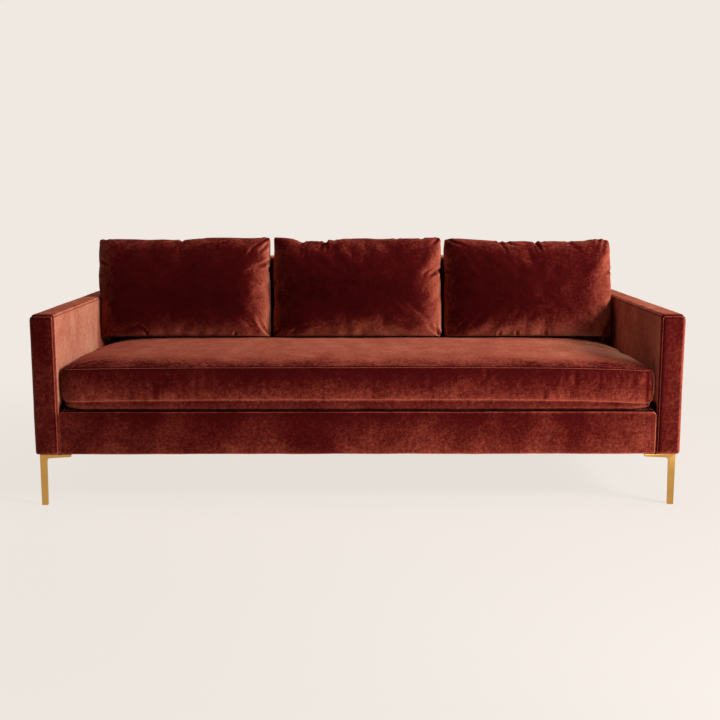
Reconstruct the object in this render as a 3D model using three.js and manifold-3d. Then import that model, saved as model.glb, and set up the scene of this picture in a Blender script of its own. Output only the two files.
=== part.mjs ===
// A three-seat velvet sofa with thin square arms, one long seat cushion, three loose back cushions and brass
// corner legs. Millimetres, +Z up, +X to the right of someone who faces the sofa. The front faces -Y, and the
// origin is on the floor under the middle of the sofa.
import * as THREE from "three";
import { mergeVertices } from "three/addons/utils/BufferGeometryUtils.js";
import Module from "manifold-3d";

const wasm = await Module();
wasm.setup();

// Overall sizes.
const sofaWidth = 2134;
const sofaDepth = 965;
const armHeight = 635;
const armThickness = 80;
const backHeight = 783;
const backTopThickness = 150;
const backRake = THREE.MathUtils.degToRad(8.8);
const deckHeight = 318;
const legHeight = 172;

// Clearances: between pieces that touch, round a screw or bolt, and the overrun of a cut.
const fit = 0.3;
const boreClearance = 0.3;
const overrun = 2;

// Cloths and paddings.
const velvet = 3;
const armPadding = 9;
const backPadding = 15;
const dustClothThickness = 1;
const dustClothInset = 18;
const turnUnder = 20;
const deckClothThickness = 3;
const deckPadThickness = 10;

// Soft edges of the upholstery.
const armEdge = 11;
const armCorner = 12;
const backEdge = 16;
const railEdge = 7;
const railEndCorner = 24;
const seamEdge = 2;

// Levels and planes that follow from the sizes above.
const halfWidth = sofaWidth / 2;
const halfDepth = sofaDepth / 2;
const armInner = halfWidth - armThickness;
const betweenArms = armInner - fit;
const baseBottom = legHeight + fit + dustClothThickness + fit;
const woodBottom = baseBottom + velvet + fit;
const woodEnd = betweenArms - velvet - fit;

const materials = {
  velvet: new THREE.MeshStandardMaterial({ color: "#74281c", roughness: 0.85, metalness: 0 }),
  wood: new THREE.MeshStandardMaterial({ color: "#b98d5c", roughness: 0.7, metalness: 0 }),
  foam: new THREE.MeshStandardMaterial({ color: "#e9dfc6", roughness: 0.95, metalness: 0 }),
  steel: new THREE.MeshStandardMaterial({ color: "#8c8f93", roughness: 0.4, metalness: 0.9 }),
  brass: new THREE.MeshStandardMaterial({ color: "#bf8a3a", roughness: 0.35, metalness: 0.9 }),
  lining: new THREE.MeshStandardMaterial({ color: "#17161a", roughness: 0.95, metalness: 0 }),
};

const sofa = new THREE.Group();
const weldDistance = 0.001;

// A closed solid from a geometry: its corners are welded, and triangles that this folds to a line are left
// out.
function solid(geometry) {
  const bare = geometry.clone();
  bare.deleteAttribute("normal");
  bare.deleteAttribute("uv");
  const merged = mergeVertices(bare, weldDistance);
  const triangles = [];
  for (let i = 0; i < merged.index.count; i += 3) {
    const [a, b, c] = merged.index.array.slice(i, i + 3);
    if (a !== b && b !== c && c !== a) triangles.push(a, b, c);
  }
  const vertProperties = new Float32Array(merged.attributes.position.array);
  const triVerts = new Uint32Array(triangles);
  return new wasm.Manifold(new wasm.Mesh({ numProp: 3, vertProperties, triVerts }));
}

function geometryOf(shape) {
  const mesh = shape.getMesh();
  const geometry = new THREE.BufferGeometry();
  geometry.setAttribute("position", new THREE.BufferAttribute(new Float32Array(mesh.vertProperties), 3));
  geometry.setIndex(new THREE.BufferAttribute(new Uint32Array(mesh.triVerts), 1));
  geometry.computeVertexNormals();
  return geometry;
}

function add(name, shape, material, parent = sofa) {
  const mesh = new THREE.Mesh(geometryOf(shape), material);
  mesh.name = name;
  parent.add(mesh);
}

function cut(shape, holes) {
  return holes.reduce((rest, hole) => rest.subtract(hole), shape);
}

// A box between two corners.
function block([x0, y0, z0], [x1, y1, z1]) {
  const box = new THREE.BoxGeometry(x1 - x0, y1 - y0, z1 - z0);
  return solid(box.translate((x0 + x1) / 2, (y0 + y1) / 2, (z0 + z1) / 2));
}

// The same box on the left (-1) or the right (+1) of the sofa.
function sideBlock(sign, [x0, y0, z0], [x1, y1, z1]) {
  const [low, high] = sign > 0 ? [x0, x1] : [-x1, -x0];
  return block([low, y0, z0], [high, y1, z1]);
}

// Ways to lay an outline: level and thick upwards, drawn in depth and height and thick across the sofa, or
// drawn in width and height and thick towards the front.
const upright = new THREE.Matrix4();
const across = new THREE.Matrix4().makeBasis(
  new THREE.Vector3(0, 1, 0), new THREE.Vector3(0, 0, 1), new THREE.Vector3(1, 0, 0));
const forwards = new THREE.Matrix4().makeBasis(
  new THREE.Vector3(1, 0, 0), new THREE.Vector3(0, 0, 1), new THREE.Vector3(0, -1, 0));

const cornerSteps = 3;

// An anticlockwise outline with rounded corners, drawn in by an inset. Each point is [u, v, corner].
function outline(points, inset = 0) {
  const moved = points.map(([u, v], i) => {
    const before = points[(i + points.length - 1) % points.length];
    const after = points[(i + 1) % points.length];
    const into = new THREE.Vector2(u - before[0], v - before[1]).normalize();
    const out = new THREE.Vector2(after[0] - u, after[1] - v).normalize();
    const inward = new THREE.Vector2(-into.y - out.y, into.x + out.x);
    return new THREE.Vector2(u, v).addScaledVector(inward, inset / (1 + into.dot(out)));
  });
  return moved.flatMap((here, i) => {
    const corner = points[i][2];
    if (!corner) return [here];
    const reach = Math.max(corner - inset, 0);
    const before = moved[(i + points.length - 1) % points.length];
    const after = moved[(i + 1) % points.length];
    const [start, end] = [before, after].map((next) => next.clone().sub(here).setLength(reach).add(here));
    return new THREE.QuadraticBezierCurve(start, here, end).getPoints(cornerSteps);
  });
}

function rectangle(u0, v0, u1, v1, corner) {
  return [[u0, v0, corner], [u1, v0, corner], [u1, v1, corner], [u0, v1, corner]];
}

// A slab with sharp edges, from one level to another along its thickness.
function slab(points, from, to, axes) {
  const shape = new THREE.Shape(outline(points));
  const geometry = new THREE.ExtrudeGeometry(shape, { depth: to - from, bevelEnabled: false });
  return solid(geometry.translate(0, 0, from).applyMatrix4(axes));
}

// A closed skin over rings of points, from the lowest ring up, each with the same number of points.
function skin(rings) {
  const count = rings[0].length;
  const last = rings.length - 1;
  const flat = (ring) => ring.map(([x, y]) => new THREE.Vector2(x, y));
  const capOf = (ring) => THREE.ShapeUtils.triangulateShape(flat(ring), []);
  const faces = capOf(rings[0]).flatMap(([a, b, c]) => [a, c, b]);
  for (let level = 0; level < last; level += 1) {
    for (let k = 0; k < count; k += 1) {
      const a = level * count + k;
      const b = level * count + ((k + 1) % count);
      faces.push(a, b, b + count, a, b + count, a + count);
    }
  }
  faces.push(...capOf(rings[last]).flat().map((i) => last * count + i));
  const geometry = new THREE.BufferGeometry();
  geometry.setAttribute("position", new THREE.Float32BufferAttribute(rings.flat(2), 3));
  return geometry.setIndex(faces);
}

// A slab whose two faces have rounded edges.
const edgeSteps = 2;
function softSlab(points, from, to, axes, edge) {
  const rings = [];
  for (const end of [-1, 1]) {
    for (let step = 0; step <= edgeSteps; step += 1) {
      const turn = (end < 0 ? step : edgeSteps - step) / edgeSteps * Math.PI / 2;
      const level = end < 0 ? from + edge * (1 - Math.cos(turn)) : to - edge * (1 - Math.cos(turn));
      rings.push(outline(points, edge * (1 - Math.sin(turn))).map(({ x, y }) => [x, y, level]));
    }
  }
  return solid(skin(rings).applyMatrix4(axes));
}

// A round bar along +Z, from pairs of radius and height.
const barSides = 8;
function bar(pairs) {
  const points = pairs.map(([radius, height]) => new THREE.Vector2(radius, height));
  return solid(new THREE.LatheGeometry(points, barSides).rotateX(Math.PI / 2));
}

// Legs: brass-plated steel, two tapering blades at a right angle under a screw plate. A leg is drawn in the
// corner of its own axes: one blade along +X, the other along +Y.
const legInset = 12;
const bladeTopWidth = 23;
const bladeFootWidth = 20.5;
const bladeThickness = 8;
const footCorner = 3;
const legArmLength = 103;
const legArmRootHeight = 12;
const legArmTipHeight = 7.5;
const legFillet = 10;
const screwPlateThickness = 3;
const screwPlateWidth = 27;
const screwFromEdge = 14;
const screwFromTip = 16;
const screwRadius = 2;
const screwHeadRadius = 4.2;
const screwHeadHeight = 2.4;
const screwCrownRadius = 3.2;
const screwLength = 30;

const blade = [
  [0, 0, 0], [bladeFootWidth, 0, footCorner], [bladeTopWidth, legHeight - legArmRootHeight, legFillet],
  [legArmLength, legHeight - legArmTipHeight, 0], [legArmLength, legHeight, 0], [0, legHeight, 0],
];
const screwPlate = [
  [0, 0, 0], [legArmLength, 0, 0], [legArmLength, screwPlateWidth, 0],
  [screwPlateWidth, legArmLength, 0], [0, legArmLength, 0],
];
const screwAlong = legArmLength - screwFromTip;
const screwPlaces = [[screwAlong, screwFromEdge], [screwFromEdge, screwAlong]];
const screwSeat = legHeight - screwPlateThickness - fit;

function legScrew([x, y]) {
  return bar([
    [0, screwSeat - screwHeadHeight], [screwCrownRadius, screwSeat - screwHeadHeight],
    [screwHeadRadius, screwSeat], [screwRadius, screwSeat],
    [screwRadius, screwSeat + screwLength - screwRadius], [0, screwSeat + screwLength],
  ]).translate(x, y, 0);
}

function legScrewHole([x, y]) {
  const radius = screwRadius + boreClearance;
  const bottom = screwSeat - overrun;
  const top = screwSeat + screwLength + fit;
  return bar([[0, bottom], [radius, bottom], [radius, top], [0, top]]).translate(x, y, 0);
}

const leg = cut(
  slab(blade, -bladeThickness, 0, forwards)
    .add(slab(blade, 0, bladeThickness, across))
    .add(slab(screwPlate, legHeight - screwPlateThickness, legHeight, upright)),
  screwPlaces.map(legScrewHole));

const legX = halfWidth - legInset;
const legY = halfDepth - legInset;
const legScrewHoles = [];
for (const [where, x, y, turn] of [
  ["front_left", -legX, -legY, 0], ["front_right", legX, -legY, Math.PI / 2],
  ["rear_right", legX, legY, Math.PI], ["rear_left", -legX, legY, -Math.PI / 2]]) {
  const corner = new THREE.Matrix4().makeRotationZ(turn).setPosition(x, y, 0).toArray();
  add(`leg_${where}`, leg.transform(corner), materials.brass);
  screwPlaces.forEach((place, i) => {
    add(`leg_screw_${where}_${i + 1}`, legScrew(place).transform(corner), materials.steel);
    legScrewHoles.push(legScrewHole(place).transform(corner));
  });
}

// The front face of the back leans. This is its place in depth, at a height and a distance behind the face.
function faceY(z, behind = 0) {
  const face = halfDepth - backTopThickness - (backHeight - z) * Math.tan(backRake);
  return face + behind / Math.cos(backRake);
}

// Seat frame: hardwood rails, a stretcher and glued corner blocks.
const frontSetback = 8;
const frontRailThickness = 45;
const frontRailPadding = 8;
const rearRailThickness = 38;
const sideRailThickness = 28;
const stretcherThickness = 32;
const stretcherHeightShare = 0.61;
const cornerBlockLength = 80;
const cornerBlockHeightShare = 0.49;
const backSkirtClearance = 4;
const springWire = 3.8;

const railTop = deckHeight - deckClothThickness - fit - deckPadThickness - fit - springWire - fit;
const railHeight = railTop - woodBottom;
const backSkirt = deckHeight + backSkirtClearance;
const backWood = velvet + fit + backPadding + fit;
const frontFace = -halfDepth + frontSetback;
const frontRailFront = frontFace + frontRailPadding + fit;
const frontRailRear = frontRailFront + frontRailThickness;
const uprightFront = faceY(backSkirt, backWood);
const rearRailRear = uprightFront - fit;
const rearRailFront = rearRailRear - rearRailThickness;
const sideRailOuter = betweenArms;
const sideRailInner = sideRailOuter - sideRailThickness;
const insideRails = sideRailInner - fit;

// Bolts that hold the arms to the side rails, each with its head inside the seat frame.
const boltRadius = 4;
const boltHeadRadius = 7;
const boltHeadHeight = 5;
const boltLength = 78;
const boltHeightShare = 0.69;
const boltFromFront = 140;
const boltFromRear = 260;
const boltSeat = sideRailInner - fit;
const boltHoles = [];
for (const [side, sign] of [["left", -1], ["right", 1]]) {
  for (const [end, y] of [["front", -halfDepth + boltFromFront], ["rear", halfDepth - boltFromRear]]) {
    const lying = new THREE.Matrix4().makeRotationY(sign * Math.PI / 2);
    lying.setPosition(0, y, woodBottom + railHeight * boltHeightShare);
    const head = boltSeat - boltHeadHeight;
    const tip = boltSeat + boltLength;
    const bolt = bar([
      [0, head], [boltHeadRadius, head], [boltHeadRadius, boltSeat],
      [boltRadius, boltSeat], [boltRadius, tip], [0, tip],
    ]);
    add(`arm_bolt_${side}_${end}`, bolt.transform(lying.toArray()), materials.steel);
    const radius = boltRadius + boreClearance;
    const mouth = boltSeat - overrun;
    const hole = bar([[0, mouth], [radius, mouth], [radius, tip + fit], [0, tip + fit]]);
    boltHoles.push(hole.transform(lying.toArray()));
  }
}

function cornerBlock(sign, y, inwards) {
  const x = sign * insideRails;
  const length = cornerBlockLength;
  const triangle = [[x, y, 0], [x - sign * length, y, 0], [x, y + inwards * length, 0]];
  return slab(triangle, woodBottom, woodBottom + railHeight * cornerBlockHeightShare, upright);
}

const stretcherTop = woodBottom + railHeight * stretcherHeightShare;
const frontRail = block([-woodEnd, frontRailFront, woodBottom], [woodEnd, frontRailRear, railTop]);
add("front_rail", cut(frontRail, legScrewHoles), materials.wood);
const rearRail = block([-insideRails, rearRailFront, woodBottom], [insideRails, rearRailRear, railTop]);
add("rear_rail", rearRail, materials.wood);
add("centre_stretcher", block(
  [-stretcherThickness / 2, frontRailRear + fit, woodBottom],
  [stretcherThickness / 2, rearRailFront - fit, stretcherTop]), materials.wood);
for (const [side, sign] of [["left", -1], ["right", 1]]) {
  const rail = sideBlock(sign,
    [sideRailInner, frontRailRear + fit, woodBottom], [sideRailOuter, uprightFront - fit, railTop]);
  add(`side_rail_${side}`, cut(rail, boltHoles), materials.wood);
  add(`corner_block_front_${side}`, cornerBlock(sign, frontRailRear + fit, 1), materials.wood);
  add(`corner_block_rear_${side}`, cornerBlock(sign, rearRailFront - fit, -1), materials.wood);
}

// Zigzag seat springs: hardened wire from the front rail to the rear rail, with a straight bar at each end.
const springCount = 7;
const springFromRail = 214;
const springSwing = 26;
const springLoops = 16;
const springBarFromEdge = 10;
const loopAlongShares = [0.1, 0.5, 0.9];
const loopSwingShares = [0.8, 1, 0.8];
const barEndShare = 0.8;
const mitreLimit = 0.5;

function springLine() {
  const y0 = frontRailRear - springBarFromEdge;
  const y1 = rearRailFront + springBarFromEdge;
  const pitch = (y1 - y0) / springLoops;
  const last = springLoops % 2 ? 1 : -1;
  const line = [[-springSwing, y0], [barEndShare * springSwing, y0]];
  for (let loop = 0; loop < springLoops; loop += 1) {
    const side = loop % 2 ? -springSwing : springSwing;
    loopAlongShares.forEach((along, i) => {
      line.push([side * loopSwingShares[i], y0 + (loop + along) * pitch]);
    });
  }
  line.push([last * barEndShare * springSwing, y1], [-last * springSwing, y1]);
  return line.map(([x, y]) => new THREE.Vector2(x, y));
}

// A square wire along a level line, with mitred corners.
function wire(line, thickness, z) {
  const half = thickness / 2;
  const rings = line.map((here, i) => {
    const into = here.clone().sub(line[Math.max(i - 1, 0)]).normalize();
    const out = line[Math.min(i + 1, line.length - 1)].clone().sub(here).normalize();
    const along = into.clone().add(out).normalize();
    const mitre = into.length() && out.length() ? Math.max(along.dot(into), mitreLimit) : 1;
    const side = new THREE.Vector2(-along.y, along.x).multiplyScalar(half / mitre);
    const [left, right] = [here.clone().add(side), here.clone().sub(side)];
    return [[left.x, left.y, z - half], [right.x, right.y, z - half],
      [right.x, right.y, z + half], [left.x, left.y, z + half]];
  });
  const faces = [0, 1, 2, 0, 2, 3];
  for (let i = 0; i < rings.length - 1; i += 1) {
    for (let k = 0; k < 4; k += 1) {
      const a = 4 * i + k;
      const b = 4 * i + ((k + 1) % 4);
      faces.push(a, b + 4, b, a, a + 4, b + 4);
    }
  }
  const end = 4 * (rings.length - 1);
  faces.push(end, end + 2, end + 1, end, end + 3, end + 2);
  const geometry = new THREE.BufferGeometry();
  geometry.setAttribute("position", new THREE.Float32BufferAttribute(rings.flat(2), 3));
  return solid(geometry.setIndex(faces));
}

const spring = wire(springLine(), springWire, railTop + fit + springWire / 2);
const firstSpring = -insideRails + springFromRail;
for (let i = 0; i < springCount; i += 1) {
  const x = firstSpring * (1 - 2 * i / (springCount - 1));
  add(`seat_spring_${i + 1}`, spring.translate(x, 0, 0), materials.steel);
}

// Front rail cover: velvet and batting over the rail, with an edge roll along its top.
const frontRailLap = 20;
const frontCoverRear = frontRailFront + frontRailLap;
const frontCoverFace = [
  [-betweenArms, baseBottom, railEdge], [betweenArms, baseBottom, railEdge],
  [betweenArms, deckHeight, railEndCorner], [-betweenArms, deckHeight, railEndCorner],
];
const frontCoverPocket = block(
  [-betweenArms + velvet, frontRailFront - fit, baseBottom + velvet],
  [betweenArms - velvet, frontCoverRear + overrun, railTop + fit]);
const frontCover = softSlab(frontCoverFace, -frontCoverRear, -frontFace, forwards, railEdge);
add("front_rail_cover", cut(frontCover, [frontCoverPocket, ...legScrewHoles]), materials.velvet);

// Deck: a felt pad on the springs under the deck cloth.
const deckFront = frontCoverRear + fit;
const deckClothBottom = deckHeight - deckClothThickness;
const deckPadBottom = railTop + fit + springWire + fit;
add("deck_pad", block(
  [-betweenArms, deckFront, deckPadBottom],
  [betweenArms, rearRailRear, deckClothBottom - fit]), materials.foam);
add("deck_cover", block(
  [-betweenArms, deckFront, deckClothBottom],
  [betweenArms, rearRailRear, deckHeight]), materials.velvet);

// Dust cloth: black cambric under the whole frame.
const dustX = halfWidth - dustClothInset;
const dustY = halfDepth - dustClothInset;
const dustCloth = block(
  [-dustX, -dustY, legHeight + fit], [dustX, dustY, legHeight + fit + dustClothThickness]);
add("dust_cloth", cut(dustCloth, legScrewHoles), materials.lining);

// Arms: hardwood posts and rails glued round a thin panel, a foam wrap and a sewn velvet cover. The cover is
// turned under the arm all round, and bolts through its inner side hold the arm to the side rail.
const armPostDepth = 70;
const armBottomRailHeightShare = 0.89;
const armTopRailHeight = 52;
const armPanelThickness = 12;

function armShape(sign, inset, bottom) {
  const top = armHeight - inset;
  const face = rectangle(-halfDepth + inset, bottom, halfDepth - inset, top, armCorner - inset);
  const [x0, x1] = [armInner + inset, halfWidth - inset].map((x) => sign * x).sort((a, b) => a - b);
  return softSlab(face, x0, x1, across, armEdge - inset);
}

for (const [side, sign] of [["left", -1], ["right", 1]]) {
  const mouth = sideBlock(sign,
    [armInner + turnUnder, -halfDepth + turnUnder, baseBottom - overrun],
    [halfWidth - turnUnder, halfDepth - turnUnder, woodBottom + overrun]);
  const inside = armShape(sign, velvet, baseBottom + velvet);
  const cover = cut(armShape(sign, 0, baseBottom), [inside, mouth, ...boltHoles, ...legScrewHoles]);
  add(`arm_cover_${side}`, cover, materials.velvet);

  const padOut = velvet + fit;
  const padIn = padOut + armPadding;
  const room = sideBlock(sign,
    [armInner + padIn, -halfDepth + padIn, woodBottom - overrun],
    [halfWidth - padIn, halfDepth - padIn, armHeight - padIn]);
  add(`arm_pad_${side}`, cut(armShape(sign, padOut, woodBottom), [room, ...boltHoles]), materials.foam);

  const wood = padIn + fit;
  const board = sideBlock(sign,
    [armInner + wood, -halfDepth + wood, woodBottom],
    [halfWidth - wood, halfDepth - wood, armHeight - wood]);
  const recessBottom = woodBottom + railHeight * armBottomRailHeightShare;
  const recess = sideBlock(sign,
    [armInner + wood + armPanelThickness, -halfDepth + wood + armPostDepth, recessBottom],
    [halfWidth - wood + overrun, halfDepth - wood - armPostDepth, armHeight - wood - armTopRailHeight]);
  add(`arm_frame_${side}`, cut(board, [recess, ...boltHoles, ...legScrewHoles]), materials.wood);
}

// Back: raked uprights under a top rail, a foam wrap, and a velvet cover whose rear panel hangs to the base
// and is turned under there.
const uprightThickness = 28;
const backTopRailHeight = 60;

// The section of the back at a distance inside its front and top, and at another distance inside its rear.
function backSection(inside, insideRear, bottom, corner) {
  const top = backHeight - inside;
  return [
    [faceY(bottom, inside), bottom, 0], [halfDepth - insideRear, bottom, 0],
    [halfDepth - insideRear, top, corner], [faceY(top, inside), top, corner],
  ];
}

const backOutline = backSection(0, 0, backSkirt, backEdge);
const backShell = softSlab(backOutline, -betweenArms, betweenArms, across, seamEdge);
const backHollow = slab(
  backSection(velvet, velvet, backSkirt - overrun, backEdge - velvet),
  -betweenArms + velvet, betweenArms - velvet, across);
const backPanel = block(
  [-betweenArms, halfDepth - velvet, baseBottom], [betweenArms, halfDepth, backSkirt + turnUnder]);
const backHem = block(
  [-betweenArms, halfDepth - turnUnder, baseBottom], [betweenArms, halfDepth, baseBottom + velvet]);
add("back_cover", backShell.subtract(backHollow).add(backPanel).add(backHem), materials.velvet);

const backPadOut = velvet + fit;
const backPadIn = backPadOut + backPadding;
const backPad = slab(
  backSection(backPadOut, backPadOut, backSkirt, backEdge - backPadOut), -woodEnd, woodEnd, across);
const backPadRoom = slab(
  backSection(backPadIn, -overrun, backSkirt - overrun, 0), -woodEnd - overrun, woodEnd + overrun, across);
add("back_pad", backPad.subtract(backPadRoom), materials.foam);

const uprightRear = halfDepth - velvet - fit;
const topRailTop = backHeight - backWood;
const topRailBottom = topRailTop - backTopRailHeight;
const uprightTop = topRailBottom - fit;
const topRailFront = faceY(topRailTop, backWood);
add("back_top_rail", block([-woodEnd, topRailFront, topRailBottom], [woodEnd, uprightRear, topRailTop]),
  materials.wood);
const uprightSide = [
  [uprightFront, woodBottom, 0], [uprightRear, woodBottom, 0], [uprightRear, uprightTop, 0],
  [faceY(uprightTop, backWood), uprightTop, 0], [uprightFront, backSkirt, 0],
];
for (const [where, x] of [
  ["left", -woodEnd], ["centre", -uprightThickness / 2], ["right", woodEnd - uprightThickness]]) {
  const post = slab(uprightSide, x, x + uprightThickness, across);
  add(`back_upright_${where}`, cut(post, legScrewHoles), materials.wood);
}

// Zips: a row of coils at the bottom of a channel in the cover, with a slit between its two sides, and a
// slider that runs on it. A zip is drawn along X in a face at z = 0, with the cushion above it.
const zipChannelWidth = 16;
const zipChannelDepth = 6;
const zipCoilWidth = 6;
const zipCoilHeight = 2.4;
const zipSlit = 0.8;
const zipSlitDepth = 18;
const sliderLength = 12;
const sliderWidth = 8;
const sliderThickness = 2;
const pullLength = 22;
const pullWidth = 4;
const pullThickness = 1.2;

function addZip(cover, length) {
  const half = length / 2;
  const coilBottom = zipChannelDepth - zipCoilHeight;
  const channel = block(
    [-half, -zipChannelWidth / 2, -zipChannelDepth], [half, zipChannelWidth / 2, zipChannelDepth]);
  const coils = block(
    [-half, -zipCoilWidth / 2, coilBottom], [half, zipCoilWidth / 2, zipChannelDepth + fit]);
  const slit = block(
    [-half + sliderLength, -zipSlit / 2, coilBottom - overrun],
    [half - sliderLength, zipSlit / 2, zipSlitDepth]);
  return cover.subtract(channel).add(coils).subtract(slit);
}

// The slider waits at the left end, with its pull lying along the zip.
function zipSlider(length) {
  const top = zipChannelDepth - zipCoilHeight - fit;
  const bottom = top - sliderThickness;
  const x0 = -length / 2 + fit;
  const pullX = x0 + sliderLength / 2;
  const body = block([x0, -sliderWidth / 2, bottom], [x0 + sliderLength, sliderWidth / 2, top]);
  const pull = block(
    [pullX, -pullWidth / 2, bottom - pullThickness / 2],
    [pullX + pullLength, pullWidth / 2, bottom + pullThickness / 2]);
  return body.add(pull);
}

// Seat cushion: a foam core in a boxed velvet cover, with a crown on top and a flatter one below. Its long
// sides draw in a little between the corners, and the boxing bulges between its two seams.
const seatGap = 5;
const seatSetback = 10;
const seatBackGap = 7;
const seatSag = 34.6;
const seatBoxing = 114.4;
const seatCrown = 26;
const seatBulge = 4;
const seatDrawIn = 5;
const seatCorner = 26;
const seatWall = 11;
const seatZipFromEnd = 232;
const crownPower = 2.4;
const crownReachShare = 0.86;
const topInsetShares = [0, 0.035, 0.12, 0.3, 0.6, 1];
const bottomInsetShares = [0.42, 0.16, 0.05, 0];
const flatShare = 0.42;

const seatBottom = deckHeight + fit;
const seatSeamLow = deckHeight + seatSag;
const seatSeamHigh = seatSeamLow + seatBoxing;
const seatFront = -halfDepth + seatSetback;
const seatRear = faceY(seatSeamLow) - seatBackGap - seatBulge;
const seatHalfX = armInner - seatGap;
const seatHalfY = (seatRear - seatFront) / 2;
const seatMiddleY = (seatRear + seatFront) / 2;
const crownReach = seatHalfY * crownReachShare;
const seatZipLength = 2 * (seatHalfX - seatZipFromEnd);

function crown(share) {
  return 1 - (1 - Math.min(share, 1)) ** crownPower;
}

// One level ring of the seat cushion, with some steps round each corner and along each long side.
function seatRing(inset, z, cornerCount, sideCount) {
  const [halfX, halfY] = [seatHalfX - inset, seatHalfY - inset];
  const radius = Math.min(seatCorner, halfY);
  const ring = [];
  for (let quarter = 0; quarter < 4; quarter += 1) {
    const signX = quarter === 0 || quarter === 3 ? 1 : -1;
    const signY = quarter < 2 ? 1 : -1;
    for (let i = 0; i <= cornerCount; i += 1) {
      const angle = (quarter + i / cornerCount) * Math.PI / 2;
      const x = signX * (halfX - radius) + Math.cos(angle) * radius;
      ring.push([x, signY * (halfY - radius) + Math.sin(angle) * radius, z]);
    }
    for (let i = 1; i < sideCount && quarter % 2 === 0; i += 1) {
      ring.push([signX * (halfX - radius) * (1 - 2 * i / sideCount), signY * halfY, z]);
    }
  }
  const drawIn = (x) => 1 - seatDrawIn / seatHalfY * (1 - (x / seatHalfX) ** 2);
  return ring.map(([x, y]) => [x, seatMiddleY + y * drawIn(x), z]);
}

function seatForm(inset, cornerCount, sideCount) {
  const ringAt = (share, z) => seatRing(inset + share * (crownReach - inset), z, cornerCount, sideCount);
  const sink = seatSeamLow - seatBottom;
  const middle = (seatSeamLow + seatSeamHigh) / 2;
  const bottomAt = (share) => seatSeamLow - sink * crown(share / flatShare) + inset;
  const rings = [
    ...bottomInsetShares.map((share) => ringAt(share, bottomAt(share))),
    seatRing(inset - seatBulge, middle, cornerCount, sideCount),
    ...topInsetShares.map((share) => ringAt(share, seatSeamHigh + seatCrown * crown(share) - inset)),
  ];
  return solid(skin(rings));
}

const seatZipPlace = new THREE.Matrix4().makeRotationX(Math.PI / 2);
seatZipPlace.setPosition(0, seatRear + seatBulge - seatDrawIn, (seatSeamLow + seatSeamHigh) / 2);
const fromSeatZip = seatZipPlace.clone().invert().toArray();
const seatShell = seatForm(0, 3, 6).subtract(seatForm(seatWall, 1, 2)).transform(fromSeatZip);
const seatCover = addZip(seatShell, seatZipLength).transform(seatZipPlace.toArray());
const seatSlider = zipSlider(seatZipLength).transform(seatZipPlace.toArray());
add("seat_cushion_cover", seatCover, materials.velvet);
add("seat_cushion_core", seatForm(seatWall + fit, 1, 2), materials.foam);
add("seat_cushion_zip_slider", seatSlider, materials.steel);

// Back cushions: plump fill in knife-edge velvet covers. Each stands on the seat cushion and leans on the
// back. It is drawn as it leans: x across, y from its front to its rear, z up along the back, and its seam is
// at y = 0.
const cushionGap = 6;
const cushionArmGap = 1.5;
const cushionHeight = 385;
const cushionFrontSwell = 120;
const cushionRearSwell = 112;
const cushionSideDraw = 5;
const cushionTopDraw = 8;
const cushionTuck = 34;
const cushionSettle = 7;
const cushionWall = 11;
const fillClearance = 0.6;
const cushionZipFromEnd = 96;
const cushionRest = 0.5;
const facePower = 4;
const frontFullness = 0.5;
const rearFullness = 0.36;
const cushionWidth = (2 * (armInner - cushionArmGap) - 2 * cushionGap) / 3;
const cushionZipLength = cushionWidth - 2 * cushionZipFromEnd;

// A pillow of two faces that meet in the seam. Its foot is flattened where it stands on the seat.
function pillow(inset, columns, rows) {
  const halfX = cushionWidth / 2 - inset;
  const top = cushionHeight - 2 * inset;
  const settled = (z) => (z + Math.hypot(z, cushionSettle)) / 2;
  const positions = [];
  const numbers = new Map();
  const vertex = (i, j, side) => {
    const [u, v] = [2 * i / columns - 1, 2 * j / rows - 1];
    const onSeam = Math.abs(u) === 1 || Math.abs(v) === 1;
    const key = onSeam ? `${i},${j}` : `${i},${j},${side}`;
    if (!numbers.has(key)) {
      numbers.set(key, numbers.size);
      const room = (1 - u ** facePower) * (1 - v ** facePower);
      const front = -(cushionFrontSwell - inset) * room ** frontFullness;
      const rear = (cushionRearSwell - inset) * room ** rearFullness;
      const sag = Math.max(v, 0) * cushionTopDraw * (1 - u ** 2);
      const z = settled(-cushionTuck + (top + cushionTuck) * (v + 1) / 2 - sag);
      positions.push(u * (halfX - cushionSideDraw * (1 - v ** 2)), side < 0 ? front : rear, inset + z);
    }
    return numbers.get(key);
  };
  const faces = [];
  for (let i = 0; i < columns; i += 1) {
    for (let j = 0; j < rows; j += 1) {
      for (const side of [-1, 1]) {
        const corners = [[i, j], [i + 1, j], [i + 1, j + 1], [i, j + 1]].map(([p, q]) => vertex(p, q, side));
        const [a, b, c, d] = side < 0 ? corners : corners.reverse();
        faces.push(a, b, c, a, c, d);
      }
    }
  }
  const geometry = new THREE.BufferGeometry();
  geometry.setAttribute("position", new THREE.Float32BufferAttribute(positions, 3));
  return solid(geometry.setIndex(faces));
}

// The seam stands off the back by the rear swell. The foot lies on the seat's crown, which falls to the rear
// about as steeply as the foot leans, so it is lifted by the highest point of the crown under it.
const seamAt = (z) => faceY(z) - (cushionRearSwell + fit) / Math.cos(backRake);
const footGuess = seamAt(seatSeamHigh);
const footSamples = 24;
const footLift = Math.max(...Array.from({ length: footSamples + 1 }, (_, i) => {
  const y = footGuess - cushionFrontSwell + (seatRear - footGuess + cushionFrontSwell) * i / footSamples;
  return seatCrown * crown((seatRear - y) / crownReach) + (y - footGuess) * Math.tan(backRake);
}));
const footZ = seatSeamHigh + footLift + cushionRest / Math.cos(backRake);
const lean = new THREE.Group();
lean.rotation.x = -backRake;
lean.position.set(0, seamAt(footZ), footZ);
sofa.add(lean);

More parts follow.
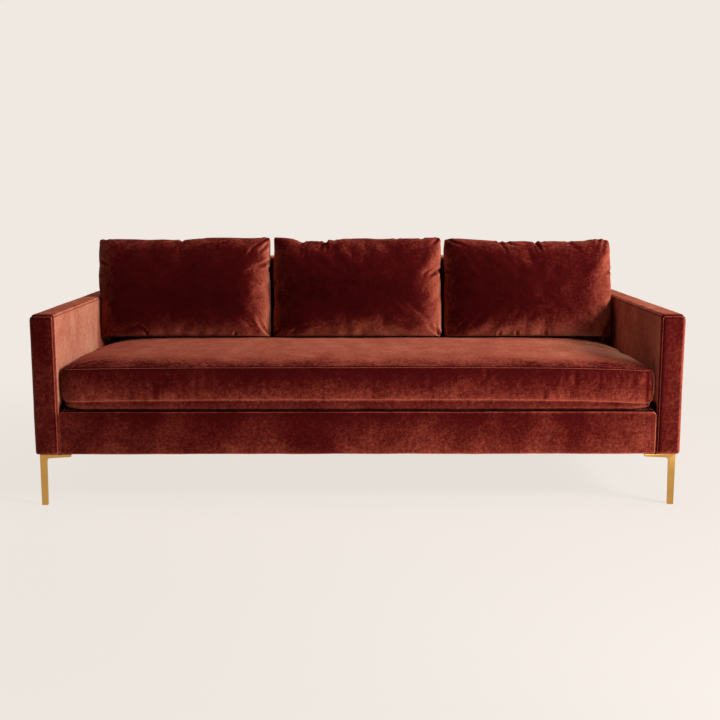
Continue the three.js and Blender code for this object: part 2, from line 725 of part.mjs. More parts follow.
["left", "centre", "right"].forEach((where, i) => {
  const place = new THREE.Group();
  place.position.x = (i - 1) * (cushionWidth + cushionGap);
  lean.add(place);
  const shell = pillow(0, 16, 12).subtract(pillow(cushionWall, 8, 6));
  add(`back_cushion_cover_${where}`, addZip(shell, cushionZipLength), materials.velvet, place);
  add(`back_cushion_fill_${where}`, pillow(cushionWall + fillClearance, 8, 6), materials.foam, place);
  add(`back_cushion_zip_slider_${where}`, zipSlider(cushionZipLength), materials.steel, place);
});

export default sofa;
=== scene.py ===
# A three-seat velvet sofa with thin square arms, one long boxed seat cushion, three loose back cushions and
# brass corner legs. Metres, +Z up, the front faces -Y. The sections follow the sofa as it is put together.
import math

import bmesh
import bpy
import numpy as np
from mathutils import Matrix, Vector, noise


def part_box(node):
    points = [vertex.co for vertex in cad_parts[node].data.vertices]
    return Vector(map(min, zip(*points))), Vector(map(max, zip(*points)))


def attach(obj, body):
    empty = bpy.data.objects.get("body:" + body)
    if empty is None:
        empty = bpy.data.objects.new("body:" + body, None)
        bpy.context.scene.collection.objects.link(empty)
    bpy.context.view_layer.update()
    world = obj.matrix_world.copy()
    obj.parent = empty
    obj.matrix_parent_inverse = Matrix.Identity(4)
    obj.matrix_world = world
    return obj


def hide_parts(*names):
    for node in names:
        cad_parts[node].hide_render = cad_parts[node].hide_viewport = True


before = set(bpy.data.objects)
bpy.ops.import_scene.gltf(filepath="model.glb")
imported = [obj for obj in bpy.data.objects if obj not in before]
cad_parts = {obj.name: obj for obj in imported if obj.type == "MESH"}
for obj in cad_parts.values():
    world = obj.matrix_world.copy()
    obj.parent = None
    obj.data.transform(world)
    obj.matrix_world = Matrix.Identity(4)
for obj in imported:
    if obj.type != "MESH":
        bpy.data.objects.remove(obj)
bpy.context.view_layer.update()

# Camera: straight in front of the sofa, a little above the height of the back, turned down a few degrees, with
# a slightly long lens.
camera_data = bpy.data.cameras.new("camera")
camera_data.lens = 52.5
camera_data.sensor_width = 36
camera = bpy.data.objects.new("camera", camera_data)
camera.location = (-0.0103, -3.8662, 1.0158)
camera.rotation_euler = (math.radians(81.19), 0, math.radians(-0.28))
bpy.context.scene.collection.objects.link(camera)
bpy.context.scene.camera = camera
bpy.context.scene.view_settings.view_transform = "Standard"

# Studio: a pale cream room that looks the same all round, and a floor that keeps a soft shadow under the sofa.
# The room's colour is what the camera, reflections and clear things see; its light on the sofa is weaker.
backdrop_colour = (0.871, 0.815, 0.761, 1)
ambient_colour = (0.96, 0.84, 0.79, 1)
ambient_strength = 0.062
floor_size = 40.0
shadow_share = 0.11
shadow_near = 1.3
shadow_far = 3.2


def add_node(tree, kind, values=None, **settings):
    """A node of a tree, with its settings and the values of its unlinked inputs."""
    node = tree.nodes.new(kind)
    for name, value in settings.items():
        setattr(node, name, value)
    for name, value in (values or {}).items():
        node.inputs[name].default_value = value
    return node


def join(tree, *links):
    """Links sockets of a tree. Each link is (node, output, node, input)."""
    for source, output, target, socket in links:
        tree.links.new(source.outputs[output], target.inputs[socket])


def seen_by_eye(tree):
    """1 for the rays of the camera, of reflections and through glass, and 0 for light that falls on things."""
    path = add_node(tree, "ShaderNodeLightPath")
    either = add_node(tree, "ShaderNodeMath", operation="MAXIMUM")
    any_of = add_node(tree, "ShaderNodeMath", operation="MAXIMUM")
    join(tree,
         (path, "Is Camera Ray", either, 0), (path, "Is Glossy Ray", either, 1), (either, 0, any_of, 0),
         (path, "Is Transmission Ray", any_of, 1))
    return any_of.outputs[0]


room = bpy.data.worlds.new("room")
bpy.context.scene.world = room
room.use_nodes = True
tree = room.node_tree
tree.nodes.clear()
ambient = add_node(tree, "ShaderNodeBackground", {"Color": ambient_colour, "Strength": ambient_strength})
backdrop = add_node(tree, "ShaderNodeBackground", {"Color": backdrop_colour, "Strength": 1})
either = add_node(tree, "ShaderNodeMixShader")
out = add_node(tree, "ShaderNodeOutputWorld")
tree.links.new(seen_by_eye(tree), either.inputs[0])
join(tree, (ambient, 0, either, 1), (backdrop, 0, either, 2), (either, 0, out, "Surface"))

floor_mesh = bpy.data.meshes.new("floor")
half = floor_size / 2
floor_mesh.from_pydata(
    [(-half, -half, 0), (half, -half, 0), (half, half, 0), (-half, half, 0)], [], [(0, 1, 2, 3)])
floor = bpy.data.objects.new("floor", floor_mesh)
bpy.context.scene.collection.objects.link(floor)
floor_paint = bpy.data.materials.new("floor_paint")
floor_paint.use_nodes = True
tree = floor_paint.node_tree
tree.nodes.clear()
place = add_node(tree, "ShaderNodeTexCoord")
distance = add_node(tree, "ShaderNodeVectorMath", operation="LENGTH")
share = add_node(tree, "ShaderNodeMapRange", {
    "From Min": shadow_near, "From Max": shadow_far, "To Min": 1 - shadow_share, "To Max": 1})
share.interpolation_type = "SMOOTHSTEP"
to_eye = add_node(tree, "ShaderNodeMath", operation="MULTIPLY")
lit = add_node(tree, "ShaderNodeBsdfDiffuse", {"Color": backdrop_colour})
plain = add_node(tree, "ShaderNodeEmission", {"Color": backdrop_colour, "Strength": 1})
mixed = add_node(tree, "ShaderNodeMixShader")
out = add_node(tree, "ShaderNodeOutputMaterial")
join(tree, (place, "Object", distance, 0), (distance, "Value", share, "Value"), (share, 0, to_eye, 0))
tree.links.new(seen_by_eye(tree), to_eye.inputs[1])
join(tree, (to_eye, 0, mixed, 0), (lit, 0, mixed, 1), (plain, 0, mixed, 2), (mixed, 0, out, "Surface"))
floor_mesh.materials.append(floor_paint)

# Lamps: a soft window on the right in front, a weak lamp low on that side, a broad one overhead, and one
# behind the sofa for its rear. Each is (name, place, aim, size, power).
lamp_colour = (1.0, 0.97, 0.93)
for name, location, aim, size, power in [
        ("window", (4.1, -2.6, 2.7), (-0.2, 0.0, 0.5), (1.6, 1.6), 315),
        ("near_right", (1.1, -2.2, 0.5), (0.4, 0.0, 0.3), (0.8, 0.8), 14),
        ("overhead", (0.0, 0.3, 3.4), (0.0, 0.0, 0.4), (3.2, 1.6), 32),
        ("behind", (-1.8, 4.6, 1.0), (0.0, 0.4, 0.4), (1.8, 1.2), 150)]:
    lamp = bpy.data.lights.new(name, "AREA")
    lamp.shape = "RECTANGLE"
    lamp.size, lamp.size_y = size
    lamp.energy = power
    lamp.color = lamp_colour
    holder = bpy.data.objects.new(name, lamp)
    holder.location = location
    holder.rotation_euler = (Vector(aim) - Vector(location)).to_track_quat("-Z", "Y").to_euler()
    bpy.context.scene.collection.objects.link(holder)

# Legs: brass-plated steel, each cut and folded to two tapering blades at a right angle, with a screw plate. The
# plating is satin brushed, with its lines down the blades, and the edges are eased and a little polished.
leg_names = ["leg_front_left", "leg_front_right", "leg_rear_right", "leg_rear_left"]
leg_edge = 0.0014


def plain_material(name, **finish):
    """A new material, its node tree and its shader. The finish is the shader's plain values by socket name,
    with _ for a space."""
    material = bpy.data.materials.new(name)
    material.use_nodes = True
    shader = material.node_tree.nodes["Principled BSDF"]
    for label, value in finish.items():
        shader.inputs[label.replace("_", " ")].default_value = value
    return material, material.node_tree, shader


def new_group(name, inputs, outputs):
    """A shader group with named sockets. Each input is (name, kind, value), each output (name, kind)."""
    group = bpy.data.node_groups.new(name, "ShaderNodeTree")
    for label, kind, value in inputs:
        socket = group.interface.new_socket(label, in_out="INPUT", socket_type=kind)
        if value is not None:
            socket.default_value = value
    for label, kind in outputs:
        group.interface.new_socket(label, in_out="OUTPUT", socket_type=kind)
    return group, group.nodes.new("NodeGroupInput"), group.nodes.new("NodeGroupOutput")


def place_group(tree, group, values):
    """A node that holds a shader group, with the values of its inputs."""
    node = tree.nodes.new("ShaderNodeGroup")
    node.node_tree = group
    for name, value in values.items():
        node.inputs[name].default_value = value
    return node


# Lines along one direction, as brushing or wood grain leaves, and broad cloudy patches.
grain_group, given, result = new_group(
    "lines along one way",
    [("Vector", "NodeSocketVector", None), ("Stretch", "NodeSocketVector", (1, 1, 1)),
     ("Line Scale", "NodeSocketFloat", 900.0), ("Patch Scale", "NodeSocketFloat", 20.0)],
    [("Lines", "NodeSocketFloat"), ("Patches", "NodeSocketFloat")])
stretched = add_node(grain_group, "ShaderNodeVectorMath", operation="MULTIPLY")
lines = add_node(grain_group, "ShaderNodeTexNoise", {"Detail": 3.0, "Roughness": 0.6})
patches = add_node(grain_group, "ShaderNodeTexNoise", {"Detail": 2.0, "Roughness": 0.5})
join(grain_group,
     (given, "Vector", stretched, 0), (given, "Stretch", stretched, 1), (stretched, 0, lines, "Vector"),
     (given, "Line Scale", lines, "Scale"), (given, "Vector", patches, "Vector"),
     (given, "Patch Scale", patches, "Scale"), (lines, "Fac", result, "Lines"),
     (patches, "Fac", result, "Patches"))


def two_tones(tree, dark, light):
    """A mix of two colours: 6 and 7 are its colour inputs, and its colour comes out of 2."""
    return add_node(tree, "ShaderNodeMix", {6: dark, 7: light}, data_type="RGBA")


def lined_material(name, dark, light, stretch, line_scale, patch_scale, roughness, metallic, bump):
    """A solid with lines along one way: brushed metal or planed wood. Roughness is (lowest, highest)."""
    material, tree, shader = plain_material(name, Metallic=metallic)
    place = add_node(tree, "ShaderNodeTexCoord")
    grain = place_group(tree, grain_group, {
        "Stretch": stretch, "Line Scale": line_scale, "Patch Scale": patch_scale})
    both = add_node(tree, "ShaderNodeMix", {"Factor": 0.45}, data_type="FLOAT")
    colour = two_tones(tree, dark, light)
    rough = add_node(tree, "ShaderNodeMapRange", {
        "From Min": 0.3, "From Max": 0.7, "To Min": roughness[0], "To Max": roughness[1]})
    relief = add_node(tree, "ShaderNodeBump", {"Strength": 0.6, "Distance": bump})
    join(tree,
         (place, "Object", grain, "Vector"), (grain, "Lines", both, 2), (grain, "Patches", both, 3),
         (both, 0, colour, 0), (colour, 2, shader, "Base Color"), (both, 0, rough, "Value"),
         (rough, 0, shader, "Roughness"), (grain, "Lines", relief, "Height"), (relief, 0, shader, "Normal"))
    return material


brass = lined_material(
    "satin_brass", (0.475, 0.248, 0.055, 1), (0.64, 0.37, 0.11, 1), (1, 1, 0.03), 1500, 26, (0.24, 0.42), 1,
    0.0002)


def collection_link(piece):
    """The piece, once it is in the scene."""
    bpy.context.scene.collection.objects.link(piece)
    return piece


def smooth(mesh, angle=math.radians(40)):
    """Smooth shading, with edges sharper than the angle kept."""
    mesh.polygons.foreach_set("use_smooth", [True] * len(mesh.polygons))
    mesh.set_sharp_from_angle(angle=angle)
    mesh.update()


def eased_copy(node, edge, name):
    """A piece with a CAD node's shape, its flat faces whole and its sharp edges eased."""
    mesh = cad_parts[node].data.copy()
    mesh.name = name
    mesh.materials.clear()
    shape = bmesh.new()
    shape.from_mesh(mesh)
    bmesh.ops.remove_doubles(shape, verts=shape.verts, dist=0.00002)
    bmesh.ops.dissolve_limit(
        shape, angle_limit=math.radians(1), verts=shape.verts, edges=shape.edges, use_dissolve_boundaries=False)
    bmesh.ops.recalc_face_normals(shape, faces=shape.faces)
    sharp = [e for e in shape.edges if e.is_manifold and e.calc_face_angle() > math.radians(35)]
    bmesh.ops.bevel(
        shape, geom=sharp, offset=edge, offset_type="OFFSET", segments=2, profile=0.5, affect="EDGES",
        clamp_overlap=True)
    shape.to_mesh(mesh)
    shape.free()
    smooth(mesh, math.radians(30))
    return collection_link(bpy.data.objects.new(name, mesh))


for name in leg_names:
    leg = eased_copy(name, leg_edge, f"{name}_plated")
    leg.data.materials.append(brass)
    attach(leg, "frame")
    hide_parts(name)

# Seat frame, back frame and arm frames: kiln-dried beech boards, planed and glued, with blocks in the corners.
# The grain runs along each board.
def beech(name, stretch):
    """Planed beech, with its grain along the axis whose stretch is small."""
    return lined_material(
        name, (0.42, 0.25, 0.125, 1), (0.66, 0.45, 0.26, 1), stretch, 130, 9, (0.5, 0.7), 0, 0.0006)


beech_across = beech("beech_across", (0.05, 1, 1))
beech_deep = beech("beech_deep", (1, 0.05, 1))
beech_upright = beech("beech_upright", (1, 1, 0.05))


def dress_node(node, material):
    """Gives a CAD node that the scene keeps its material."""
    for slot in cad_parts[node].material_slots:
        slot.link = "OBJECT"
        slot.material = material


for node in ["front_rail", "rear_rail", "back_top_rail", "corner_block_front_left", "corner_block_front_right",
             "corner_block_rear_left", "corner_block_rear_right"]:
    dress_node(node, beech_across)
for node in ["centre_stretcher", "side_rail_left", "side_rail_right"]:
    dress_node(node, beech_deep)
for node in ["back_upright_left", "back_upright_centre", "back_upright_right", "arm_frame_left",
             "arm_frame_right"]:
    dress_node(node, beech_upright)

# Springs and arm bolts: seven zigzag springs of blue-grey oiled wire that run from the front rail to the rear
# one, and zinc-plated bolts that hold the arms to the side rails.
spring_steel = lined_material(
    "spring_steel", (0.16, 0.17, 0.19, 1), (0.27, 0.28, 0.31, 1), (1, 1, 1), 700, 30, (0.3, 0.5), 1, 0.0001)
zinc = lined_material(
    "zinc_plate", (0.50, 0.50, 0.49, 1), (0.68, 0.68, 0.66, 1), (1, 1, 1), 500, 60, (0.25, 0.4), 1, 0.0001)
for count in range(1, 8):
    dress_node(f"seat_spring_{count}", spring_steel)
for side in ["left", "right"]:
    for end in ["front", "rear"]:
        dress_node(f"arm_bolt_{side}_{end}", zinc)

# Leg screws: zinc-plated steel, two to a leg, with pan heads and a cross recess, driven up through the leg's
# screw plate into the frame.
screw_names = [f"leg_screw_{end}_{side}_{count}" for end in ("front", "rear") for side in ("left", "right")
               for count in (1, 2)]
screw_profile = [(0.0032, 0.0), (0.0038, 0.0005), (0.0042, 0.0013), (0.0042, 0.0024), (0.002, 0.0024),
                 (0.002, 0.0304), (0.0, 0.0324)]
recess_lines = (-0.0017, -0.0005, 0.0, 0.0005, 0.0017)
recess_depth = 0.0013
head = bmesh.new()
grid = [[head.verts.new((x, y, 0)) for x in recess_lines] for y in recess_lines]
cross = []
last = len(recess_lines) - 1
for j in range(last):
    for i in range(last):
        face = head.faces.new((grid[j][i], grid[j + 1][i], grid[j + 1][i + 1], grid[j][i + 1]))
        if i in (1, 2) or j in (1, 2):
            cross.append(face)
border = ([grid[0][i] for i in range(last)] + [grid[j][last] for j in range(last)]
          + [grid[last][i] for i in range(last, 0, -1)] + [grid[j][0] for j in range(last, 0, -1)])
around = [math.atan2(v.co.y, v.co.x) for v in border]
sides = len(border)
for radius, z in screw_profile[:-1]:
    circle = [head.verts.new((radius * math.cos(a), radius * math.sin(a), z)) for a in around]
    for k in range(sides):
        head.faces.new((border[k], border[(k + 1) % sides], circle[(k + 1) % sides], circle[k]))
    border = circle
tip = head.verts.new((0, 0, screw_profile[-1][1]))
for k in range(sides):
    head.faces.new((border[k], border[(k + 1) % sides], tip))
sunk = bmesh.ops.extrude_face_region(head, geom=cross)
bmesh.ops.translate(
    head, vec=(0, 0, recess_depth), verts=[v for v in sunk["geom"] if isinstance(v, bmesh.types.BMVert)])
bmesh.ops.delete(head, geom=cross, context="FACES")
bmesh.ops.recalc_face_normals(head, faces=head.faces)
screw_mesh = bpy.data.meshes.new("screw")
head.to_mesh(screw_mesh)
head.free()
smooth(screw_mesh, math.radians(35))
one_screw = bpy.data.objects.new("screw", screw_mesh)

screw_tree = bpy.data.node_groups.new("a screw at each point", "GeometryNodeTree")
for label, kind in [("Geometry", "NodeSocketGeometry"), ("Screw", "NodeSocketObject"),
                    ("Finish", "NodeSocketMaterial")]:
    screw_tree.interface.new_socket(label, in_out="INPUT", socket_type=kind)
screw_tree.interface.new_socket("Geometry", in_out="OUTPUT", socket_type="NodeSocketGeometry")
given = screw_tree.nodes.new("NodeGroupInput")
result = screw_tree.nodes.new("NodeGroupOutput")
taken = add_node(screw_tree, "GeometryNodeObjectInfo")
driven = add_node(screw_tree, "GeometryNodeInstanceOnPoints")
real = add_node(screw_tree, "GeometryNodeRealizeInstances")
painted = add_node(screw_tree, "GeometryNodeSetMaterial")
join(screw_tree,
     (given, "Screw", taken, "Object"), (given, "Geometry", driven, "Points"),
     (taken, "Geometry", driven, "Instance"), (driven, 0, real, 0), (real, 0, painted, "Geometry"),
     (given, "Finish", painted, "Material"), (painted, 0, result, 0))


def set_input(modifier, label, value):
    """Sets a Geometry Nodes input by its socket's identifier."""
    for item in modifier.node_group.interface.items_tree:
        if item.item_type == "SOCKET" and item.in_out == "INPUT" and item.name == label:
            modifier[item.identifier] = value


def made_plain(piece):
    """The piece with what its modifiers make of it as its own mesh, and no modifiers."""
    evaluated = piece.evaluated_get(bpy.context.evaluated_depsgraph_get())
    mesh = bpy.data.meshes.new_from_object(evaluated)
    piece.modifiers.clear()
    old = piece.data
    piece.data = mesh
    mesh.name = piece.name
    if old.users == 0:
        bpy.data.meshes.remove(old)
    return piece


places = []
for name in screw_names:
    low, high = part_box(name)
    places.append(((low.x + high.x) / 2, (low.y + high.y) / 2, low.z))
mesh = bpy.data.meshes.new("leg_screws")
mesh.from_pydata(places, [], [])
leg_screws = collection_link(bpy.data.objects.new("leg_screws", mesh))
modifier = leg_screws.modifiers.new("screws", "NODES")
modifier.node_group = screw_tree
set_input(modifier, "Screw", one_screw)
set_input(modifier, "Finish", zinc)
made_plain(leg_screws)
bpy.data.objects.remove(one_screw)
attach(leg_screws, "frame")
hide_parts(*screw_names)

# Velvet: a short dense cotton pile. Seen head on it shows its dark depth, and seen aslant the sides of the
# fibres shine rust and then terracotta. Each padded piece carries an attribute that makes it lighter or darker
# place by place: clouds of the pile's own tone, and for the most part painted light and painted shade.
# The tones from dark to light. Those below 0 are reached almost only through painted shade, and the near-black
# one is for painted shadow.
velvet_shades = [
    (-0.3, (0.003, 0.0003, 0.0003, 1)), (-0.08, (0.028, 0.0017, 0.0021, 1)), (0.216, (0.056, 0.0036, 0.0038, 1)),
    (0.35, (0.117, 0.0155, 0.0105, 1)), (0.48, (0.226, 0.041, 0.026, 1)), (0.62, (0.330, 0.075, 0.046, 1)),
    (0.78, (0.435, 0.115, 0.070, 1)), (1.0, (0.640, 0.285, 0.180, 1))]
velvet_tip = (1.0, 0.46, 0.33, 1)

nap_group, given, result = new_group(
    "velvet nap",
    [("Vector", "NodeSocketVector", None), ("Laid", "NodeSocketFloat", 0.0),
     ("Cloud Scale", "NodeSocketFloat", 14.0), ("Fibre Scale", "NodeSocketFloat", 380.0)],
    [("Laid", "NodeSocketFloat"), ("Height", "NodeSocketFloat")])
clouds = add_node(nap_group, "ShaderNodeTexNoise", {"Detail": 5.0, "Roughness": 0.66, "Distortion": 0.3})
flecks = add_node(nap_group, "ShaderNodeTexNoise", {"Detail": 2.0, "Roughness": 0.6})
fleck_scale = add_node(nap_group, "ShaderNodeMath", {1: 0.22}, operation="MULTIPLY")
fibres = add_node(nap_group, "ShaderNodeTexNoise", {"Detail": 1.0, "Roughness": 0.5})
cloud_share = add_node(nap_group, "ShaderNodeMapRange", {
    "From Min": 0.3, "From Max": 0.7, "To Min": -0.10, "To Max": 0.10})
fleck_share = add_node(nap_group, "ShaderNodeMapRange", {
    "From Min": 0.3, "From Max": 0.7, "To Min": -0.10, "To Max": 0.10})
both = add_node(nap_group, "ShaderNodeMath", operation="ADD")
strength = add_node(nap_group, "ShaderNodeMath", operation="ABSOLUTE")
amount = add_node(nap_group, "ShaderNodeMath", {1: 1.25, 2: 0.5}, operation="MULTIPLY_ADD")
grain = add_node(nap_group, "ShaderNodeMath", {1: -0.5}, operation="ADD")
fine = add_node(nap_group, "ShaderNodeMath", {1: 0.34}, operation="MULTIPLY_ADD")
total = add_node(nap_group, "ShaderNodeMath", operation="MULTIPLY_ADD")
height = add_node(nap_group, "ShaderNodeMath", {1: 0.5}, operation="MULTIPLY_ADD")
join(nap_group,
     (given, "Vector", clouds, "Vector"), (given, "Vector", flecks, "Vector"),
     (given, "Vector", fibres, "Vector"), (given, "Cloud Scale", clouds, "Scale"),
     (given, "Fibre Scale", fibres, "Scale"), (given, "Fibre Scale", fleck_scale, 0),
     (fleck_scale, 0, flecks, "Scale"), (clouds, "Fac", cloud_share, "Value"),
     (flecks, "Fac", fleck_share, "Value"), (cloud_share, 0, both, 0), (fleck_share, 0, both, 1),
     (given, "Laid", strength, 0), (strength, 0, amount, 0), (fibres, "Fac", grain, 0), (grain, 0, fine, 0),
     (given, "Laid", fine, 2), (both, 0, total, 0), (amount, 0, total, 1), (fine, 0, total, 2),
     (total, 0, result, "Laid"), (fibres, "Fac", height, 0), (flecks, "Fac", height, 2),
     (height, 0, result, "Height"))

# The finish itself: lighter where it is seen aslant, and lighter or darker by its tone and painted light and
# shade.
velvet, tree, shader = plain_material(
    "velvet", Roughness=0.8, Specular_IOR_Level=0.0, Sheen_Weight=0.03, Sheen_Roughness=0.3,
    Sheen_Tint=velvet_tip)
place = add_node(tree, "ShaderNodeTexCoord")
tone_and_light_attribute = add_node(tree, "ShaderNodeAttribute", attribute_name="laid")
nap = place_group(tree, nap_group, {})
relief = add_node(tree, "ShaderNodeBump", {"Strength": 0.5, "Distance": 0.0012})
aslant = add_node(tree, "ShaderNodeLayerWeight", {"Blend": 0.5})
turned = add_node(tree, "ShaderNodeMath", {1: 0.5}, operation="POWER")
shade = add_node(tree, "ShaderNodeMath", operation="ADD")
lowest, highest = velvet_shades[0][0], velvet_shades[-1][0]
ranged = add_node(tree, "ShaderNodeMapRange", {"From Min": lowest, "From Max": highest})
colour = add_node(tree, "ShaderNodeValToRGB")
stops = colour.color_ramp.elements
while len(stops) < len(velvet_shades):
    stops.new(0.5)
for stop, (position, tone) in zip(stops, velvet_shades):
    stop.position, stop.color = (position - lowest) / (highest - lowest), tone
join(tree,
     (place, "Object", nap, "Vector"), (tone_and_light_attribute, "Fac", nap, "Laid"), (nap, "Height", relief, "Height"),
     (relief, 0, shader, "Normal"), (relief, 0, aslant, "Normal"), (aslant, "Facing", turned, 0),
     (turned, 0, shade, 0), (nap, "Laid", shade, 1), (shade, 0, ranged, "Value"), (ranged, 0, colour, 0),
     (colour, 0, shader, "Base Color"))

# Thread: the polyester of the topstitching, a shade lighter than the pile that it lies on. It is sewn by
# machine, in stitches of about 4 mm.
thread, tree, shader = plain_material("thread", Roughness=0.7, Specular_IOR_Level=0.1)
place = add_node(tree, "ShaderNodeTexCoord")
twist = place_group(tree, grain_group, {"Stretch": (1, 1, 1), "Line Scale": 2500, "Patch Scale": 40})
colour = two_tones(tree, (0.34, 0.085, 0.052, 1), (0.60, 0.22, 0.145, 1))
join(tree, (place, "Object", twist, "Vector"), (twist, "Lines", colour, 0), (colour, 2, shader, "Base Color"))

# A row of small pieces along a line: stitches that lie end to end with a small gap, zip teeth or staples.
row_tree = bpy.data.node_groups.new("row of small pieces", "GeometryNodeTree")
for label, kind, value in [("Geometry", "NodeSocketGeometry", None), ("Spacing", "NodeSocketFloat", 0.0055),
                           ("Length", "NodeSocketFloat", 0.0044), ("Rise", "NodeSocketFloat", 0.0012),
                           ("Depth", "NodeSocketFloat", 0.0012), ("Square", "NodeSocketBool", False),
                           ("Finish", "NodeSocketMaterial", None)]:
    socket = row_tree.interface.new_socket(label, in_out="INPUT", socket_type=kind)
    if value is not None:
        socket.default_value = value
row_tree.interface.new_socket("Geometry", in_out="OUTPUT", socket_type="NodeSocketGeometry")
given = row_tree.nodes.new("NodeGroupInput")
result = row_tree.nodes.new("NodeGroupOutput")
line = add_node(row_tree, "GeometryNodeMeshToCurve")
points = add_node(row_tree, "GeometryNodeResampleCurve", mode="LENGTH")
tangent = add_node(row_tree, "GeometryNodeInputTangent")
turned = add_node(row_tree, "FunctionNodeAlignRotationToVector", axis="Z")
round_one = add_node(row_tree, "GeometryNodeMeshIcoSphere", {"Radius": 0.5, "Subdivisions": 1})
square_one = add_node(row_tree, "GeometryNodeMeshCube")
either = add_node(row_tree, "GeometryNodeSwitch", input_type="GEOMETRY")
scale = add_node(row_tree, "ShaderNodeCombineXYZ")
laid_on = add_node(row_tree, "GeometryNodeInstanceOnPoints")
real = add_node(row_tree, "GeometryNodeRealizeInstances")
painted = add_node(row_tree, "GeometryNodeSetMaterial")
join(row_tree,
     (given, "Geometry", line, 0), (line, 0, points, "Curve"), (given, "Spacing", points, "Length"),
     (tangent, 0, turned, "Vector"), (given, "Rise", scale, 0), (given, "Depth", scale, 1),
     (given, "Length", scale, 2), (given, "Square", either, "Switch"), (round_one, 0, either, "False"),
     (square_one, 0, either, "True"), (points, 0, laid_on, "Points"), (either, 0, laid_on, "Instance"),
     (turned, 0, laid_on, "Rotation"), (scale, 0, laid_on, "Scale"), (laid_on, 0, real, 0),
     (real, 0, painted, "Geometry"), (given, "Finish", painted, "Material"), (painted, 0, result, 0))


def small_row(name, lines, finish, spacing, length, rise, depth, square=False):
    """Rows of small pieces along lines of points. Each line is (points, closed)."""
    verts, edges = [], []
    for points, closed in lines:
        first = len(verts)
        verts += [tuple(p) for p in points]
        edges += [(first + i, first + i + 1) for i in range(len(points) - 1)]
        if closed:
            edges.append((len(verts) - 1, first))
    mesh = bpy.data.meshes.new(name)
    mesh.from_pydata(verts, edges, [])
    piece = collection_link(bpy.data.objects.new(name, mesh))
    modifier = piece.modifiers.new("row", "NODES")
    modifier.node_group = row_tree
    for label, value in [("Spacing", spacing), ("Length", length), ("Rise", rise), ("Depth", depth),
                         ("Square", square), ("Finish", finish)]:
        set_input(modifier, label, value)
    made_plain(piece)
    smooth(piece.data, math.radians(80))
    return piece


def stitches(name, lines, body, spacing=0.0055, length=0.0044, thickness=0.0011):
    """Rows of stitches in the velvet's thread, riding on a body."""
    piece = small_row(name, lines, thread, spacing, length, thickness, thickness)
    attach(piece, body)
    return piece


# Arms: a beech frame wrapped in foam and covered in velvet. A narrow front panel is sewn in all round, and the
# side panels are joined along the top edges; every seam is topstitched.
arm_edge, arm_inner_edge, arm_front_edge, arm_top_edge, arm_rear_edge = 0.009, 0.013, 0.012, 0.018, 0.014
arm_cell = 0.018
arm_crown = 0.005
panel_corner = 0.012
groove_from_seam, groove_reach, groove_depth = 0.0045, 0.0022, 0.0012
top_seam_drop, outer_seam_drop = 0.003, 0.0165
rear_round, top_round = (0.008, 0.018), (0.012, 0.020)
close_steps, close_reach, least_step = (-0.006, -0.0035, -0.0018, 0, 0.0018, 0.0035, 0.006), 0.0065, 0.0012


def spaced(low, high, cell, fine):
    """Places from low to high, a cell apart, with closer ones round each of the fine places."""
    count = max(2, round((high - low) / cell))
    places = set(np.linspace(low, high, count + 1).round(6))
    for middle in fine:
        for step in close_steps:
            if low < middle + step < high:
                places.add(round(middle + step, 6))
    kept = [low]
    for value in sorted(places):
        near_fine = any(abs(value - middle) < close_reach for middle in fine)
        if value - kept[-1] > (least_step if near_fine else cell * 0.45):
            kept.append(value)
    kept[-1] = high
    return kept


def soft_box(low, high, radius, cell, fine=((), (), ())):
    """Points and faces of a box with round edges. fine gives places along x, y and z with closer points."""
    axes = [spaced(low[a], high[a], cell, [*fine[a], low[a] + radius / 2, high[a] - radius / 2])
            for a in range(3)]
    index, points, faces = {}, [], []

    def point(i, j, k):
        if (i, j, k) not in index:
            at = np.array([axes[0][i], axes[1][j], axes[2][k]])
            core = np.clip(at, np.array(low) + radius, np.array(high) - radius)
            away = at - core
            length = np.linalg.norm(away)
            index[(i, j, k)] = len(points)
            points.append(core + away / length * radius if length > 0 else at)
        return index[(i, j, k)]

    counts = [len(a) - 1 for a in axes]
    for axis in range(3):
        u, v = [a for a in range(3) if a != axis]
        for end in (0, counts[axis]):
            for i in range(counts[u]):
                for j in range(counts[v]):
                    corner = []
                    for di, dj in ((0, 0), (1, 0), (1, 1), (0, 1)):
                        at = [0, 0, 0]
                        at[axis], at[u], at[v] = end, i + di, j + dj
                        corner.append(point(*at))
                    outward = (end > 0) == (axis != 1)
                    faces.append(corner if outward else corner[::-1])
    return np.array(points), faces


def normals_of(points, faces):
    """The normal of a shape at each of its points."""
    mesh = bpy.data.meshes.new("normals")
    mesh.from_pydata([tuple(p) for p in points], [], faces)
    mesh.update()
    normals = np.array([v.normal[:] for v in mesh.vertices])
    bpy.data.meshes.remove(mesh)
    return normals


def cloud(points, size, seed):
    """Smooth noise from -1 to 1 at each point, with features of about the given size."""
    shift = Vector((seed * 3.17, seed * 1.31, seed * 2.07))
    return np.array([noise.noise(Vector(p) / size + shift) for p in points])


def layered(points, *layers):
    """Smooth noise in layers that add up. Each layer is (amount, size, seed)."""
    return sum(amount * cloud(points, size, seed) for amount, size, seed in layers)


def bell(distance, width):
    """1 where the distance is nothing, falling off smoothly over the width."""
    return np.exp(-(distance / width) ** 2)


def past(place, start, over):
    """0 up to the start, and 1 from a given length past it."""
    return np.clip((place - start) / over, 0, 1)


def short_of(place, stop, over):
    """0 from the stop on, and 1 up to a given length short of it."""
    return np.clip((stop - place) / over, 0, 1)


def distance_to(points, path, closed):
    """How far each point is from a path of straight lines."""
    path = np.array(path)
    ends = np.roll(path, -1, axis=0) if closed else path[1:]
    starts = path if closed else path[:-1]
    best = np.full(len(points), 1e9)
    for a, b in zip(starts, ends):
        line = b - a
        share = np.clip(((points - a) @ line) / (line @ line), 0, 1)
        best = np.minimum(best, np.linalg.norm(points - (a + share[:, None] * line), axis=1))
    return best


